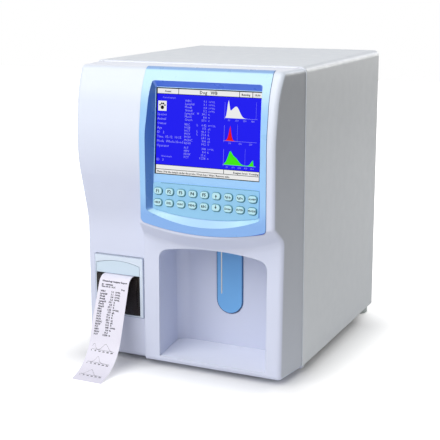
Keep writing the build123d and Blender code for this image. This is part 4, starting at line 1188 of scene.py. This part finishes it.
# %% World
WORLD_LEVEL = 0.31
world = bpy.data.worlds.new("studio")
bpy.context.scene.world = world
world.use_nodes = True
tree = world.node_tree
rays = tree.nodes.new("ShaderNodeLightPath").outputs
through = combined(tree, "MAXIMUM", rays["Is Glossy Ray"], rays["Is Transmission Ray"])
seen = combined(tree, "MAXIMUM", rays["Is Camera Ray"], through)
background = tree.nodes["Background"]
background.inputs["Color"].default_value = (1, 1, 1, 1)
tree.links.new(mapped(tree, seen, 0, 1, WORLD_LEVEL, 1.0), background.inputs["Strength"])
print("world level", WORLD_LEVEL)

# %% [markdown]
# The floor is nearly white and takes the object's shadow. For the camera alone
# it also glows, from nothing under the object to full white some way off, so
# the soft shadow stays by the feet and the floor melts into the background.

# %% Floor
FLOOR_GREY = (0.90, 0.90, 0.90)
FLOOR_PALE = (0.93, 0.93, 0.93)
FOOTPRINT = (0.15, 0.14, 0)
GLOW_START, GLOW_FULL = 16 * MM, 160 * MM
OUTWARDS = (("ABSOLUTE", None), ("SUBTRACT", FOOTPRINT), ("MAXIMUM", (0, 0, 0)), ("LENGTH", None))
deselect()
bpy.ops.mesh.primitive_plane_add(size=8, location=(0, 0, -0.2 * MM))
floor = bpy.context.object
floor.name = "floor"
material, tree, shader, place = new_material("floor_white")
camera_ray = tree.nodes.new("ShaderNodeLightPath").outputs["Is Camera Ray"]
speckled = laid_over(tree, spread(tree, noise(tree, place, 4)), FLOOR_GREY, FLOOR_PALE)
tree.links.new(laid_over(tree, camera_ray, FLOOR_GREY, speckled), shader.inputs["Base Color"])
shader.inputs["Roughness"].default_value = 0.8
reached = place
for operation, value in OUTWARDS:
    away = tree.nodes.new("ShaderNodeVectorMath")
    away.operation = operation
    tree.links.new(reached, away.inputs[0])
    if value:
        away.inputs[1].default_value = value
    reached = away.outputs["Value" if operation == "LENGTH" else "Vector"]
rising = mapped(tree, reached, GLOW_START, GLOW_FULL)
lift = combined(tree, "MULTIPLY", rising, camera_ray)
shader.inputs["Emission Color"].default_value = (1, 1, 1, 1)
tree.links.new(lift, shader.inputs["Emission Strength"])
floor.data.materials.append(material)
print("floor glow from", GLOW_START, "to", GLOW_FULL, "m off the footprint")

# %% [markdown]
# Two large soft lamps. The front one stands high on the left and makes the
# front brighter than the side. The back one keeps the rear from going dark.
# Their powers are set so that a colour renders about as it is written.

# %% Lamps
MIDDLE = (0, 0, 0.22)


def softbox(name, place, size, power):
    """A square area lamp that looks at the object's middle."""
    lamp = bpy.data.lights.new(name, "AREA")
    lamp.size = size
    lamp.energy = power
    holder = bpy.data.objects.new(name, lamp)
    bpy.context.collection.objects.link(holder)
    direction = Vector(MIDDLE) - Vector(place)
    holder.rotation_euler = direction.to_track_quat("-Z", "Y").to_euler()
    holder.location = place


softbox("front_lamp", (-0.5, -1.8, 1.9), 2.4, 54)
softbox("back_lamp", (1.1, 2.0, 1.0), 1.2, 22)
print("lamps", len(bpy.data.lights))

# %% [markdown]
# Last, the plain view transform, so that colours aren't changed on their way to
# the picture.

# %% Finish
scene = bpy.context.scene
scene.view_settings.view_transform = "Standard"
